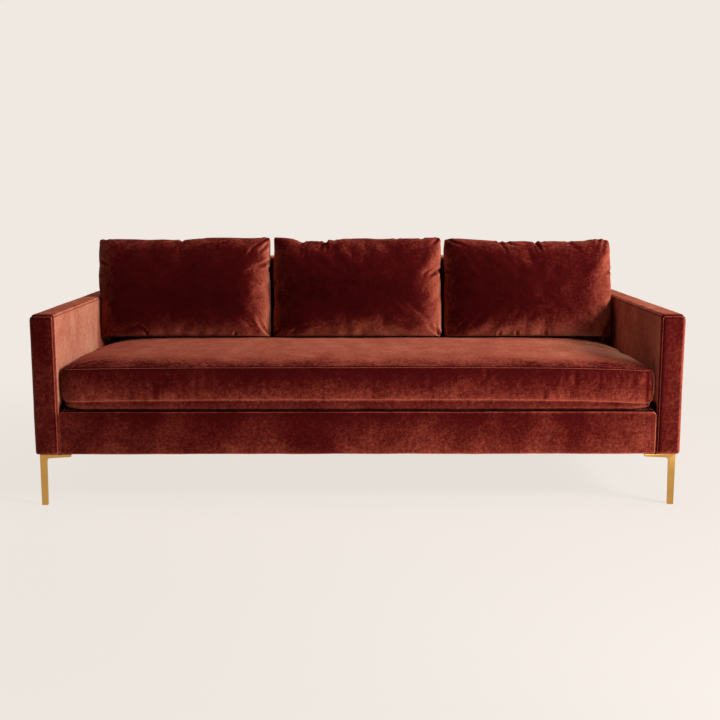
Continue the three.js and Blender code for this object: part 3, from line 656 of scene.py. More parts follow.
def finer(points, faces):
    """The points and faces of a shape with every face cut in four and smoothed."""
    mesh = bpy.data.meshes.new("coarse")
    mesh.from_pydata([tuple(p) for p in points], [], faces)
    piece = collection_link(bpy.data.objects.new("coarse", mesh))
    rounded = piece.modifiers.new("rounded", "SUBSURF")
    rounded.levels = rounded.render_levels = 1
    mesh = made_plain(piece).data
    fine = np.empty(len(mesh.vertices) * 3)
    mesh.vertices.foreach_get("co", fine)
    corners = np.empty(len(mesh.loops), int)
    mesh.loops.foreach_get("vertex_index", corners)
    bpy.data.objects.remove(piece)
    bpy.data.meshes.remove(mesh)
    return fine.reshape(-1, 3), corners.reshape(-1, 4).tolist()


def waved(points, faces, sink, *layers):
    """The finer shape of a cover that waves a little by layers of noise, sunk by a small amount."""
    wave = layered(points, *layers) - sink
    return finer(points + normals_of(points, faces) * wave[:, None], faces)


def upholstered(name, points, faces, body, nodes, laid):
    """A padded velvet piece with its own mesh, riding on a body in place of its CAD nodes."""
    mesh = bpy.data.meshes.new(name)
    mesh.from_pydata([tuple(p) for p in points], [], faces)
    attribute = mesh.attributes.new("laid", "FLOAT", "POINT")
    attribute.data.foreach_set("value", laid)
    mesh.polygons.foreach_set("use_smooth", [True] * len(mesh.polygons))
    mesh.materials.append(velvet)
    piece = collection_link(bpy.data.objects.new(name, mesh))
    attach(piece, body)
    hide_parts(*nodes)
    return piece


def ring(corners, radius):
    """A closed path round a rectangle's corners, given in order, with rounded corners."""
    path = []
    for i, corner in enumerate(corners):
        before, after = Vector(corners[i - 1]), Vector(corners[(i + 1) % len(corners)])
        here = Vector(corner)
        start = here + (before - here).normalized() * radius
        end = here + (after - here).normalized() * radius
        for share in (0, 0.25, 0.5, 0.75, 1):
            path.append(start.lerp(here, share).lerp(here.lerp(end, share), share))
    return path


def on_edge(radius):
    """How far the middle of a round edge lies inside each of the two sides that meet there."""
    return radius * (1 - math.sqrt(0.5))


def rounded_corner(points, axis_a, side_a, at_a, axis_b, side_b, at_b, radius):
    """Rounds the edge where two flat sides meet.
    Each side is given as its axis, -1 or 1 for the way it faces, and its place."""
    over_a = side_a * (points[:, axis_a] - at_a) + radius
    over_b = side_b * (points[:, axis_b] - at_b) + radius
    inside = (over_a > 0) & (over_b > 0)
    share = np.maximum(over_a, over_b) / np.maximum(np.hypot(over_a, over_b), 1e-9)
    points = points.copy()
    points[inside, axis_a] = at_a + side_a * (over_a * share - radius)[inside]
    points[inside, axis_b] = at_b + side_b * (over_b * share - radius)[inside]
    return points


def on_surface(path, points, normals, lift=0.0003):
    """A path moved onto a surface, along the normal of the surface's nearest point."""
    moved = []
    for place in np.array(path, float):
        k = np.argmin(((points - place) ** 2).sum(axis=1))
        moved.append(place - normals[k] * ((place - points[k]) @ normals[k] - lift))
    return moved


# How much lighter or darker the arms' velvet is, place by place: more is lighter, and less is darker. Most of it
# is painted light and painted shade.
arm_front_tone, welt_painted_highlight, beside_welt_painted_shade = 0.03, 0.20, 0.16
edge_painted_shade = {"left": 0.25, "right": 0.05}
front_edge_painted_highlight = {"left": 0.16, "right": 0.04}
inner_painted_light = {"left": 0.05, "right": -0.14}
top_painted_shade, top_front_painted_shade, outer_front_painted_shade = -0.20, -0.14, -0.3
under_seat_painted_shade, behind_cushions_painted_shade = -1.2, -0.25
rail_low, rail_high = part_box("front_rail_cover")
for side, sign in (("left", -1), ("right", 1)):
    low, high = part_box(f"arm_cover_{side}")
    inner, outer = (high.x, low.x) if sign < 0 else (low.x, high.x)
    seam_in, seam_out = inner + sign * on_edge(arm_inner_edge), outer - sign * on_edge(arm_front_edge)
    seam_top, seam_bottom = high.z - on_edge(arm_front_edge), low.z + on_edge(arm_edge)
    seam_y = low.y + on_edge(arm_front_edge)
    front_seam = [(seam_in, seam_y, seam_bottom), (seam_out, seam_y, seam_bottom),
                  (seam_out, seam_y, seam_top), (seam_in, seam_y, seam_top)]
    points, faces = soft_box(low, high, arm_edge, arm_cell, (
        (seam_in, seam_out, outer - sign * arm_front_edge),
        (seam_y, low.y + arm_front_edge, high.y - rear_round[0], high.y - rear_round[1]),
        (seam_top, seam_bottom, high.z - top_round[0], high.z - top_round[1])))
    for corner in [
            (0, -sign, inner, 1, -1, low.y, arm_inner_edge), (0, sign, outer, 1, -1, low.y, arm_front_edge),
            (2, 1, high.z, 1, -1, low.y, arm_front_edge), (0, sign, outer, 2, 1, high.z, arm_top_edge),
            (2, 1, high.z, 1, 1, high.y, arm_rear_edge)]:
        points = rounded_corner(points, *corner)
    normals = normals_of(points, faces)
    front_near = distance_to(points, ring(front_seam, panel_corner), True)
    rear_end = high.y - 0.03
    top_in, top_out = ([(x, low.y + 0.012, z), (x, rear_end, z)]
                       for x, z in ((inner, high.z - 0.002), (outer, high.z - 0.012)))
    top_near = np.minimum(distance_to(points, top_in, False), distance_to(points, top_out, False))
    groove = bell(np.minimum(front_near, top_near) - groove_from_seam, groove_reach)
    middle = (points - np.array(low)) / (np.array(high) - np.array(low)) * 2 - 1
    puff = 0.0022 * (1 - middle[:, 0] ** 4) * (1 - middle[:, 1] ** 8) * (1 - middle[:, 2] ** 6)
    side_puff = 0.002 * (1 - middle[:, 1] ** 6) * (1 - middle[:, 2] ** 4) * np.abs(normals[:, 0])
    wave = layered(points, (0.0011, 0.16, 3 + sign), (0.0005, 0.05, 5 + sign))
    points = points + normals * (puff + side_puff + wave - groove_depth * groove)[:, None]
    points[:, 2] += arm_crown * np.clip((points[:, 2] - low.z) / (high.z - low.z), 0, 1) ** 3
    points, faces = finer(points, faces)
    normals = normals_of(points, faces)
    facing_in, facing_out = (np.clip(way * sign * normals[:, 0], 0, 1) for way in (-1, 1))
    facing_front, facing_up = np.clip(-normals[:, 1], 0, 1), np.clip(normals[:, 2], 0, 1)
    from_front, height = points[:, 1] - low.y, points[:, 2]
    edge_in, seam_z = inner + sign * on_edge(arm_edge), high.z + arm_crown - top_seam_drop
    top_seam = [(edge_in, low.y + 0.01, seam_z), (edge_in, rear_end, seam_z)]
    front_near = distance_to(points, ring(front_seam, panel_corner), True)
    seam_near = np.minimum(front_near, distance_to(points, top_seam, False))
    beside_welt = bell(seam_near - 0.0055, 0.0025) * (0.4 + 0.8 * facing_in)
    beside_rail = short_of(height, rail_high.z, 0.02) * facing_in
    under_seat = (short_of(height, rail_high.z + 0.03, 0.02) * past(from_front, 0.012, 0.012)
                  * short_of(points[:, 1], -0.32, 0.04) * facing_in)
    behind_cushions = past(points[:, 1], 0.07, 0.05) * short_of(height, 0.6, 0.05) * facing_in
    # Painted light: on the left arm's inner face, along each welt, and down the front beside the inner seam.
    # Painted shade: beside each welt, on the right arm's inner face, on the tops and most towards their fronts,
    # on the outer faces by the front, at the front edge of the inner face below the rail's top, and where the
    # back cushions hide the inner face; a near-black painted shadow low on the inner face at its front, in the
    # crevice by the rail and the seat cushion. The fronts are a little lighter, and the clouds are the pile's
    # own tone.
    laid = (arm_front_tone * facing_front ** 2 + inner_painted_light[side] * facing_in + top_painted_shade * facing_up
            + front_edge_painted_highlight[side] * facing_front * bell(points[:, 0] - seam_in, 0.012)
            - edge_painted_shade[side] * bell(from_front, 0.012) * beside_rail
            + welt_painted_highlight * bell(seam_near, 0.0022) - beside_welt_painted_shade * beside_welt
            + top_front_painted_shade * facing_up * bell(from_front, 0.05)
            + outer_front_painted_shade * facing_out * bell(from_front, 0.014)
            + under_seat_painted_shade * under_seat + behind_cushions_painted_shade * behind_cushions
            + layered(points, (0.05, 0.3, 9 + sign), (0.04, 0.09, 11 + sign))
            + facing_up * layered(points, (0.10, 0.05, 13 + sign))
            + facing_in * layered(points * np.array([1, 1, 0.4]), (0.06, 0.05, 15 + sign)))
    upholstered(f"arm_{side}", points, faces, "frame", [f"arm_cover_{side}", f"arm_pad_{side}"], laid)
    top_rows = [[(x, y, z) for y in np.linspace(low.y + 0.02, high.y - 0.025, 60)]
                for x, z in ((edge_in, seam_z), (outer, high.z - outer_seam_drop))]
    lines = [(on_surface(ring(front_seam, panel_corner), points, normals), True)]
    lines += [(on_surface(row, points, normals), False) for row in top_rows]
    stitches(f"arm_stitches_{side}", lines, "frame", thickness=0.0009)

# Front rail: velvet over batting, pulled down over the rail and turned under, with round top corners at its
# ends. Its top lies in the deep shade under the seat cushion, and that shade is painted on it, near-black.
rail_edge, rail_cell, rail_corner = 0.005, 0.014, 0.016
corner_cells = (0.004, 0.011)
rail_top_painted_shadow, rail_brim_painted_highlight = -1.6, 0.12
points, faces = soft_box(rail_low, rail_high, rail_edge, rail_cell, (
    [side * (rail_high.x - c) for side in (-1, 1) for c in corner_cells], (),
    [rail_high.z - c for c in corner_cells]))
for side, end in ((-1, rail_low.x), (1, rail_high.x)):
    points = rounded_corner(points, 0, side, end, 2, 1, rail_high.z, rail_corner)
normals = normals_of(points, faces)
across, rising = points[:, 0] / rail_high.x, (points[:, 2] - rail_low.z) / (rail_high.z - rail_low.z)
puff = 0.003 * (1 - across ** 8) * (1 - (rising * 2 - 1) ** 4) * np.maximum(-normals[:, 1], 0)
wave = layered(points, (0.0013, 0.12, 21), (0.0007, 0.045, 22))
points, faces = finer(points + normals * (puff + wave)[:, None], faces)
normals = normals_of(points, faces)
across, rising = points[:, 0] / rail_high.x, (points[:, 2] - rail_low.z) / (rail_high.z - rail_low.z)
brim = bell(points[:, 2] - rail_high.z + 0.004, 0.005) * (0.6 + 0.4 * across)
on_top = past(normals[:, 2], 0.75, 0.2) * (0.5 + 0.5 * short_of(points[:, 1], -0.456, 0.006))
# It is a little lighter all over, and darker towards its top. Painted shade towards its left end, away from the
# light; a painted highlight along its top front edge; a painted shadow on its top, near-black at the front. The
# clouds are the pile's own tone.
laid = (0.13 - 0.07 * rising - 0.065 * np.clip(-across, 0, 1) + rail_brim_painted_highlight * brim + rail_top_painted_shadow * on_top
        + layered(points * np.array([1, 1, 0.55]), (0.12, 0.13, 24)))
upholstered("front_rail_upholstery", points, faces, "frame", ["front_rail_cover"], laid)

# Back: uprights wrapped in foam, and one velvet cover over the front, the top and the rear, where the panel
# hangs to the base. Its front leans, and the seams run along the top and down the two ends of the rear.
back_low, back_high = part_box("back_cover")
back_edge, back_cell = 0.016, 0.022
skirt = 0.322
top_thickness = 0.150
rake = math.radians(8.8)
panel_proud, panel_thickness, panel_top, panel_edge = 0.004, 0.012, 0.010, 0.004
panel_seam_x, panel_seam_drop = 0.978, 0.008
body_low = (back_low.x, back_high.y - top_thickness, skirt)
body_high = (back_high.x, back_high.y - panel_proud, back_high.z)
points, faces = soft_box(body_low, body_high, back_edge, back_cell)
lean_by = (back_high.z - points[:, 2]) * math.tan(rake)
front_share = (back_high.y - points[:, 1]) / top_thickness
points[:, 1] -= lean_by * front_share
points, faces = waved(points, faces, 0.001, (0.0016, 0.2, 31), (0.0006, 0.06, 32))
laid = layered(points, (0.05, 0.3, 33))
upholstered("back_upholstery", points, faces, "frame", ["back_cover", "back_pad"], laid)
panel_low = (back_low.x, back_high.y - panel_thickness, back_low.z)
panel_high = (back_high.x, back_high.y, back_high.z - panel_top)
points, faces = soft_box(panel_low, panel_high, panel_edge, back_cell)
points, faces = waved(points, faces, 0.0012, (0.0014, 0.25, 34), (0.0005, 0.07, 35))
laid = 0.08 + layered(points, (0.07, 0.3, 33), (0.06, 0.09, 36))
upholstered("back_outer_panel", points, faces, "frame", ["back_cover"], laid)
seam_z = panel_high[2] - panel_seam_drop
panel_rows = [[(x, back_high.y, z) for z in np.linspace(panel_low[2] + 0.01, seam_z, 60)]
              for x in (-panel_seam_x, panel_seam_x)]
panel_rows.append([(x, back_high.y, seam_z) for x in np.linspace(-panel_seam_x, panel_seam_x, 160)])
normals = normals_of(points, faces)
stitches("back_stitches", [(on_surface(row, points, normals), False) for row in panel_rows], "frame")

# Deck: velvet over a felt pad that lies on the springs, drawn flat and fixed to the rails all round. It is
# seen when the seat cushion is out.
deck_low, deck_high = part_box("deck_cover")
pad_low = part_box("deck_pad")[0]
deck_edge, deck_cell = 0.002, 0.03
points, faces = soft_box((deck_low.x, deck_low.y, pad_low.z), deck_high, deck_edge, deck_cell)
points, faces = waved(points, faces, 0.0008, (0.0008, 0.25, 41))
upholstered("deck", points, faces, "frame", ["deck_cover", "deck_pad"], layered(points, (0.05, 0.3, 42)))

# Dust cloth: thin black cambric that keeps dust out of the springs. It is stretched under the frame and held
# to the rails by a row of wire staples along each side.
cambric, tree, shader = plain_material("cambric", Roughness=0.9)
place = add_node(tree, "ShaderNodeTexCoord")
weave = add_node(tree, "ShaderNodeTexNoise", {"Scale": 900.0, "Detail": 2.0})
shade = two_tones(tree, (0.006, 0.006, 0.007, 1), (0.022, 0.021, 0.024, 1))
relief = add_node(tree, "ShaderNodeBump", {"Strength": 0.4, "Distance": 0.0004})
join(tree,
     (place, "Object", weave, "Vector"), (weave, "Fac", shade, 0), (shade, 2, shader, "Base Color"),
     (weave, "Fac", relief, "Height"), (relief, 0, shader, "Normal"))
cloth_low, cloth_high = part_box("dust_cloth")
cloth_lift, cloth_sag, cloth_ripple = 0.0006, 0.004, 0.0012
columns, rows = 84, 38
grid = [(cloth_low.x + (cloth_high.x - cloth_low.x) * i / columns,
         cloth_low.y + (cloth_high.y - cloth_low.y) * j / rows)
        for j in range(rows + 1) for i in range(columns + 1)]
sag = [-cloth_sag * (1 - (x / cloth_high.x) ** 4) * (1 - (y / cloth_high.y) ** 4)
       - cloth_ripple * noise.noise(Vector((x * 9, y * 9, 4.0))) for x, y in grid]
mesh = bpy.data.meshes.new("dust_cloth_sheet")
mesh.from_pydata(
    [(x, y, cloth_low.z + cloth_lift + s) for (x, y), s in zip(grid, sag)], [],
    [(a, a + columns + 1, a + columns + 2, a + 1)
     for j in range(rows) for i in range(columns) for a in [j * (columns + 1) + i]])
mesh.materials.append(cambric)
smooth(mesh)
dust_sheet = collection_link(bpy.data.objects.new("dust_cloth_sheet", mesh))
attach(dust_sheet, "frame")
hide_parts("dust_cloth")
staple_inset, staple_from_corner = 0.009, 0.11
staple_z = cloth_low.z - 0.0001
along_x, along_y = cloth_high.x - staple_from_corner, cloth_high.y - staple_from_corner
staple_lines = []
for side in (-1, 1):
    x, y = side * (cloth_high.x - staple_inset), side * (cloth_high.y - staple_inset)
    staple_lines.append(([(-along_x, y, staple_z), (along_x, y, staple_z)], False))
    staple_lines.append(([(x, -along_y, staple_z), (x, along_y, staple_z)], False))
staples = small_row("dust_cloth_staples", staple_lines, zinc, spacing=0.048, length=0.011, rise=0.0007,
                    depth=0.0013, square=True)
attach(staples, "frame")

# Seat cushion: one long boxed cushion, a foam core in a velvet cover. The top and bottom panels are sewn to a
# boxing all round with topstitched seams; the cloth is blown up over its form, with the seams held in place.
seat_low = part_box("seat_cushion_cover")[0]
seam_low_z, seam_high_z = 0.3526, 0.4670
seat_corner = 0.045
seat_crown, crown_reach = 0.015, 0.2
seat_drawn_in = 0.005
left_droop, right_droop, rear_sink = 0.006, 0.013, 0.016
under_reach = (0.08, 0.026)
seat_half_x = 0.975
seat_bulge = (0.0115, 0.004, 0)
seat_front, seat_rear = -0.4725, 0.25487
seat_half_y = (seat_rear - seat_front) / 2
seat_middle_y = (seat_rear + seat_front) / 2
seat_cell = 0.0134
seat_edge_steps = (0.0035, 0.008, 0.015, 0.024)
seat_zip_z, seat_zip_half, seat_zip_face = (seam_low_z + seam_high_z) / 2, 0.75, 0.2532
fold_half, fold_depth = 0.008, 0.006
zip_rows = (0.418, 0.43, 0.57, 0.582)
boxing_shares = (0, 0.03, 0.075, 0.15, 0.26, 0.38, 0.5, 0.62, 0.74, 0.85, 0.925, 0.97, 1)
seat_seam_depth, seat_seam_reach, seat_stitch_step = 0.0022, 0.0035, 0.0034
zip_seam_step, zip_seam_lift, zip_seam_past = 0.0135, 0.0004, 0.006

# How much lighter or darker the cushion's velvet is, place by place: more is lighter, and less is darker. Most
# of it is painted light and painted shade. A crease adds painted shade in its hollow and a painted highlight on
# its shoulders, by its height, and so do the back cushions' folds.
crease_painted_shading, zip_fold_painted_shade = 34, -0.3
seat_tone, seat_top_painted_shade, brink_painted_shade, left_top_painted_shade, right_top_painted_light = -0.10, -0.11, -0.31, -0.12, 0.32
boxing_front_tone, boxing_low_tone, boxing_under_painted_shade, boxing_left_painted_shade = 0.22, 0.06, -0.26, -0.02
left_side_painted_shade, right_corner_painted_shade, crevice_painted_shadow, seat_seam_painted_shade = -0.4, -0.46, -0.6, -0.04


def blown_up(name, start, cut, faces, held, pull, pressure, bending, frames, volume=0.0):
    """The points of a cloth shell after some frames of pressure from inside. cut gives the points of the same
    cloth before it was sewn, and held the points that a seam pulls to where they are, firmly if pull is 1."""
    mesh = bpy.data.meshes.new(name)
    mesh.from_pydata([tuple(p) for p in start], [], faces)
    piece = collection_link(bpy.data.objects.new(name, mesh))
    piece.shape_key_add(name="Basis")
    pattern = piece.shape_key_add(name="cut")
    pattern.data.foreach_set("co", np.asarray(cut, float).ravel())
    pattern.value = 0
    seam = piece.vertex_groups.new(name="seam")
    seam.add([int(i) for i in held], pull, "REPLACE")
    cloth = piece.modifiers.new("cloth", "CLOTH")
    for setting, value in [
            ("quality", 5), ("mass", 0.3), ("tension_stiffness", 40), ("compression_stiffness", 40),
            ("shear_stiffness", 10), ("bending_stiffness", bending), ("air_damping", 3),
            ("use_pressure", True), ("uniform_pressure_force", pressure)]:
        setattr(cloth.settings, setting, value)
    if volume:
        cloth.settings.use_pressure_volume = True
        cloth.settings.target_volume = volume
    cloth.settings.effector_weights.gravity = 0
    cloth.settings.rest_shape_key = pattern
    cloth.settings.vertex_group_mass = "seam"
    cloth.collision_settings.use_collision = False
    cloth.point_cache.frame_end = frames
    for count in range(1, frames + 1):
        bpy.context.scene.frame_set(count)
    evaluated = piece.evaluated_get(bpy.context.evaluated_depsgraph_get())
    points = np.empty(len(evaluated.data.vertices) * 3)
    evaluated.data.vertices.foreach_get("co", points)
    bpy.data.objects.remove(piece)
    bpy.data.meshes.remove(mesh)
    bpy.context.scene.frame_set(1)
    return points.reshape(-1, 3)


def fold(points, normals, line, depth, width):
    """Draws points in along a fold of the front, and out along its two shoulders, ever less towards its end.
    The line's places are (x, z) in millimetres, and so are the depth and the width."""
    line = np.array(line) * 0.001
    flat = points[:, [0, 2]]
    steps = np.linalg.norm(np.diff(line, axis=0), axis=1)
    reached = np.concatenate([[0], np.cumsum(steps)]) / steps.sum()
    nearest, along = np.full(len(points), 1e9), np.zeros(len(points))
    for a, b, first, last in zip(line, line[1:], reached, reached[1:]):
        share = np.clip(((flat - a) @ (b - a)) / ((b - a) @ (b - a)), 0, 1)
        apart = np.linalg.norm(flat - (a + share[:, None] * (b - a)), axis=1)
        along = np.where(apart < nearest, first + (last - first) * share, along)
        nearest = np.minimum(apart, nearest)
    near = nearest / (width * 0.001)
    profile = 0.5 * bell(near - 1.5, 0.6) - bell(near, 1)
    strength = (1 - along) ** 0.8 * np.clip(0.3 + along * 4, 0, 1) * np.clip(0.5 - 3 * normals[:, 1], 0, 1)
    raised = depth * 0.001 * profile * strength
    return points + normals * raised[:, None], raised


def edged(reach, cell, steps):
    """Places from -reach to reach, a cell apart, with closer ones near both ends."""
    inner = np.linspace(-reach + steps[-1], reach - steps[-1], round(2 * (reach - steps[-1]) / cell) + 1)
    ends = np.array([0, *steps[:-1]])
    return [*(ends - reach), *inner, *(reach - ends[::-1])]


def seat_plan(x, y):
    """A place on the cushion's plan, with round corners and drawn-in long sides."""
    over_x, over_y = abs(x) - (seat_half_x - seat_corner), abs(y) - (seat_half_y - seat_corner)
    if over_x > 0 and over_y > 0:
        a, b = over_x / seat_corner, over_y / seat_corner
        x, y = (math.copysign(seat_half_x - seat_corner + over_x * math.sqrt(1 - b * b / 2), x),
                math.copysign(seat_half_y - seat_corner + over_y * math.sqrt(1 - a * a / 2), y))
    return x, seat_middle_y + y * (1 - seat_drawn_in / seat_half_y * (1 - (x / seat_half_x) ** 2))


def seam_droop(x, y, upper):
    """The ends of the cushion droop at the front, the right one more, and the top sinks at the rear corners."""
    end = abs(x / seat_half_x)
    front = 1 if y < 0 else 0.4
    rear = min(max((y + 0.15) / 0.3, 0), 1)
    droop = left_droop if x < 0 else right_droop
    return -droop * end ** 5 * front - (rear_sink * end ** 14 * rear if upper else 0)


def from_sides(x, y):
    """How far a place of the plan lies from the nearer end and the nearer long side."""
    return max(seat_half_x - abs(x), 0), max(seat_half_y - abs(y - seat_middle_y), 0)


def crown(x, y):
    """How much of its full swell the top panel has at a place, from 0 at its seam to 1."""
    return 1 - (1 - min(min(from_sides(x, y)) / crown_reach, 1)) ** 2.3


def turned_under(x, y):
    """How far the bottom panel is down on the deck: not at all at its seam, and wholly further in."""
    a, b = (1 - min(d / reach, 1) for d, reach in zip(from_sides(x, y), under_reach))
    return math.sqrt(max(0, 1 - a * a - b * b))


# The bottom panel and the top one lie on the same grid of places, and the boxing's rows go round between their
# seams.
seat_xs = edged(seat_half_x, seat_cell, seat_edge_steps)
seat_ys = edged(seat_half_y, seat_cell, seat_edge_steps)
last_i, last_j = len(seat_xs) - 1, len(seat_ys) - 1
points, index, faces, held = [], {}, [], []
for level, seam_z in enumerate([seam_low_z, seam_high_z]):
    for i, plan_x in enumerate(seat_xs):
        for j, plan_y in enumerate(seat_ys):
            x, y = seat_plan(plan_x, plan_y)
            rim = i in (0, last_i) or j in (0, last_j)
            z = seam_z + seam_droop(x, y, level)
            if not rim:
                z += crown(x, y) * seat_crown if level else (seat_low.z - z) * turned_under(x, y)
            index[(level, i, j)] = len(points)
            points.append((x, y, z))
            if rim or not level:
                held.append(index[(level, i, j)])
    for i in range(last_i):
        for j in range(last_j):
            q = [index[(level, i + a, j + b)] for a, b in ((0, 0), (1, 0), (1, 1), (0, 1))]
            faces.append(q if level else q[::-1])
walk = ([(i, 0) for i in range(last_i)] + [(last_i, j) for j in range(last_j)]
        + [(i, last_j) for i in range(last_i, 0, -1)] + [(0, j) for j in range(last_j, 0, -1)])
panel_faces, levels = list(faces), []
for share in boxing_shares:
    around = []
    for i, j in walk:
        if share in (0, 1):
            around.append(index[(share, i, j)])
            continue
        a, b = np.array(points[index[(0, i, j)]]), np.array(points[index[(1, i, j)]])
        outward = np.array([(i == last_i) - (i == 0), (j == last_j) - (j == 0), 0])
        around.append(len(points))
        points.append(tuple(a + (b - a) * share + outward * np.array(seat_bulge) * (1 - (2 * share - 1) ** 4)))
    levels.append(around)


def boxing_faces(levels):
    """The faces between each closed row of the boxing's points and the next."""
    return [[below[k], below[(k + 1) % len(walk)], above[(k + 1) % len(walk)], above[k]]
            for below, above in zip(levels, levels[1:]) for k in range(len(walk))]


# The cloth is cut a little larger than the form that it is sewn to.
faces = panel_faces + boxing_faces(levels)
points = np.array(points)
begun = points.copy()
free = np.ones(len(points), bool)
free[held] = False
begun[free, 2] += 0.0022 * cloud(points, 0.05, 51)[free]
centre = np.array([0, seat_middle_y, (seam_low_z + seam_high_z) / 2])
cut = centre + (points - centre) * np.array([1.012, 1.012, 1.03])
points = blown_up("seat_cushion_cloth", begun, cut, faces, held, 1.0, 1.6, 0.6, 14)

# The boxing gets closer rows where the zip's fold begins and ends, and then the seams and the fold are sunk in.
seams = [[points[n] for n in around] for around in (levels[0], levels[-1])]
shares, points = list(boxing_shares), list(points)
for share in zip_rows:
    after = int(np.searchsorted(shares, share))
    part = (share - shares[after - 1]) / (shares[after] - shares[after - 1])
    added = [points[a] + (points[b] - points[a]) * part for a, b in zip(levels[after - 1], levels[after])]
    levels.insert(after, list(range(len(points), len(points) + len(added))))
    shares.insert(after, share)
    points += added
points, faces = finer(np.array(points), panel_faces + boxing_faces(levels))
seam_near = np.minimum(*[distance_to(points, seam, True) for seam in seams])
points = points - normals_of(points, faces) * (seat_seam_depth * bell(seam_near, seat_seam_reach))[:, None]
zip_fold = (short_of(np.abs(points[:, 2] - seat_zip_z), fold_half + 0.0014, 0.0014)
            * short_of(np.abs(points[:, 0]), seat_zip_half + 0.004, 0.006) * (points[:, 1] > seat_rear - 0.012))
points[:, 1] += (seat_zip_face - fold_depth - points[:, 1]) * zip_fold

# The puckers of its boxing: places along the front, in millimetres, with a length up or down from a seam.
creased = np.zeros(len(points))
for x, z, end_z, depth, width in [
        (-742, 358, 402, 2.4, 7), (-700, 356, 388, 2.0, 6), (-664, 362, 436, 2.8, 8), (-628, 440, 392, 2.2, 7),
        (-590, 360, 392, 1.8, 6), (-520, 358, 380, 1.6, 6), (-846, 448, 412, 1.8, 7), (-310, 460, 430, 1.6, 7),
        (-120, 358, 384, 1.6, 7), (66, 458, 426, 1.5, 7), (240, 357, 390, 1.8, 7), (420, 456, 420, 1.8, 7),
        (610, 356, 396, 1.6, 7), (676, 452, 410, 1.3, 6), (712, 452, 384, 1.5, 7), (741, 450, 408, 1.1, 5),
        (792, 446, 380, 1.4, 6), (812, 446, 404, 1.0, 5), (858, 444, 398, 1.4, 6), (902, 440, 392, 1.2, 7)]:
    points, raised = fold(
        points, normals_of(points, faces), [(x, z), (x + 4, (z + end_z) / 2), (x - 3, end_z)], depth, width)
    creased += raised
normals = normals_of(points, faces)
front = np.clip(-normals[:, 1], 0, 1)
upward = np.clip(normals[:, 2], 0, 1)
turned_right = np.clip(normals[:, 0], 0, 1)
end_share = np.abs(points[:, 0] / seat_half_x) ** 6
left_end, right_end = end_share * (points[:, 0] < 0), end_share * (points[:, 0] > 0)
right_corner = bell(turned_right - 0.56, 0.27)
brink = bell(points[:, 1] - seat_front, 0.085 + 0.09 * end_share)
boxing_low = short_of(points[:, 2], 0.40, 0.04)
under = short_of(points[:, 2], seam_low_z, 0.03)
crevice = short_of(points[:, 2], seat_low.z + 0.009, 0.008)
brushed, streaked = points * np.array([1, 0.45, 1]), points * np.array([1, 1, 0.25])
# Painted shade: on the top, most along its front brink and at its left end, on the left side and round the right
# corner, along the seams, in the zip's fold, under the boxing and towards the boxing's left end, and a
# near-black painted shadow in the crevice at its foot. Painted light: on the top's right end, where the right
# arm's shadow falls. It is a little darker all over, the boxing's front is lighter, more so low down, and the
# clouds are the pile's own tone.
laid = (seat_tone + seat_top_painted_shade * upward + crevice_painted_shadow * crevice + seat_seam_painted_shade * bell(seam_near, 0.004)
        + front * (boxing_front_tone + boxing_low_tone * boxing_low + boxing_under_painted_shade * under
                   + boxing_left_painted_shade * np.clip(-points[:, 0] / seat_half_x, 0, 1))
        + upward * (brink_painted_shade * brink + left_top_painted_shade * left_end + right_top_painted_light * right_end * (1 - brink))
        + (1 - upward) * (left_side_painted_shade * np.clip(-normals[:, 0], 0, 1) + right_corner_painted_shade * right_corner)
        + zip_fold_painted_shade * zip_fold + crease_painted_shading * creased
        + layered(points, (0.05, 0.22, 52)) + front * layered(streaked, (0.035, 0.012, 55))
        + upward * (layered(brushed, (0.07, 0.055, 54)) - brink * layered(brushed, (0.08, 0.09, 53))))
upholstered(
    "seat_cushion", points, faces, "seat_cushion", ["seat_cushion_cover", "seat_cushion_core"], laid)
for name, seam, step, thickness in (("lower", seams[0], seat_stitch_step, 0.0009),
                                    ("upper", seams[1], -seat_stitch_step, 0.0013)):
    row = on_surface(np.array(seam) + [0, 0, step], points, normals)
    stitches(f"seat_{name}_stitches", [(row, True)], "seat_cushion", thickness=thickness)
rear = points[(normals[:, 1] > 0.5) & (np.abs(points[:, 2] - seat_zip_z) < 0.03)]
beside_zip = []
for z in (seat_zip_z - zip_seam_step, seat_zip_z + zip_seam_step):
    row = []
    for x in np.linspace(-seat_zip_half - zip_seam_past, seat_zip_half + zip_seam_past, 80):
        nearest = np.argmin(np.hypot(rear[:, 0] - x, rear[:, 2] - z))
        row.append((x, rear[nearest, 1] + zip_seam_lift, z))
    beside_zip.append((row, False))
stitches("seat_zip_stitches", beside_zip, "seat_cushion")

# Back cushions: a plump fill in a knife-edge velvet cover, two panels cut with bowed edges and sewn together.
# Each is blown up on a seam that is drawn to its own crooked outline, then settled on the seat and leaned back.
cushion_width, cushion_height = 0.653, 0.385
cushion_tuck = 0.034
cushion_gap = 0.006
cushion_cell = 0.0078
front_swell, rear_swell = 0.120, 0.112
cut_larger, side_bow, top_bow = 1.05, 0.036, 0.042
seam_inset = 0.004
cushion_zip_half = 0.2305
seam_corner = 0.011
side_reach = {"left": (0.3425, 0.3280), "centre": (0.3290, 0.3290), "right": (0.3295, 0.3275)}
side_fullness = {"left": (0.5, 0.15), "centre": (0.15, 0.15), "right": (0.15, 0.2)}
cloth_width, cloth_height = 0.72, 0.50
cushion_columns, cushion_rows = round(cloth_width / cushion_cell), round(cloth_height / cushion_cell)
foot_round, rear_slack = 0.007, 0.004
half_width, seam_top = cushion_width / 2 - seam_inset, cushion_height - seam_inset
lean_foot = Vector((0, 0.17223, 0.4818))
tilt = Matrix.Rotation(-rake, 3, "X")

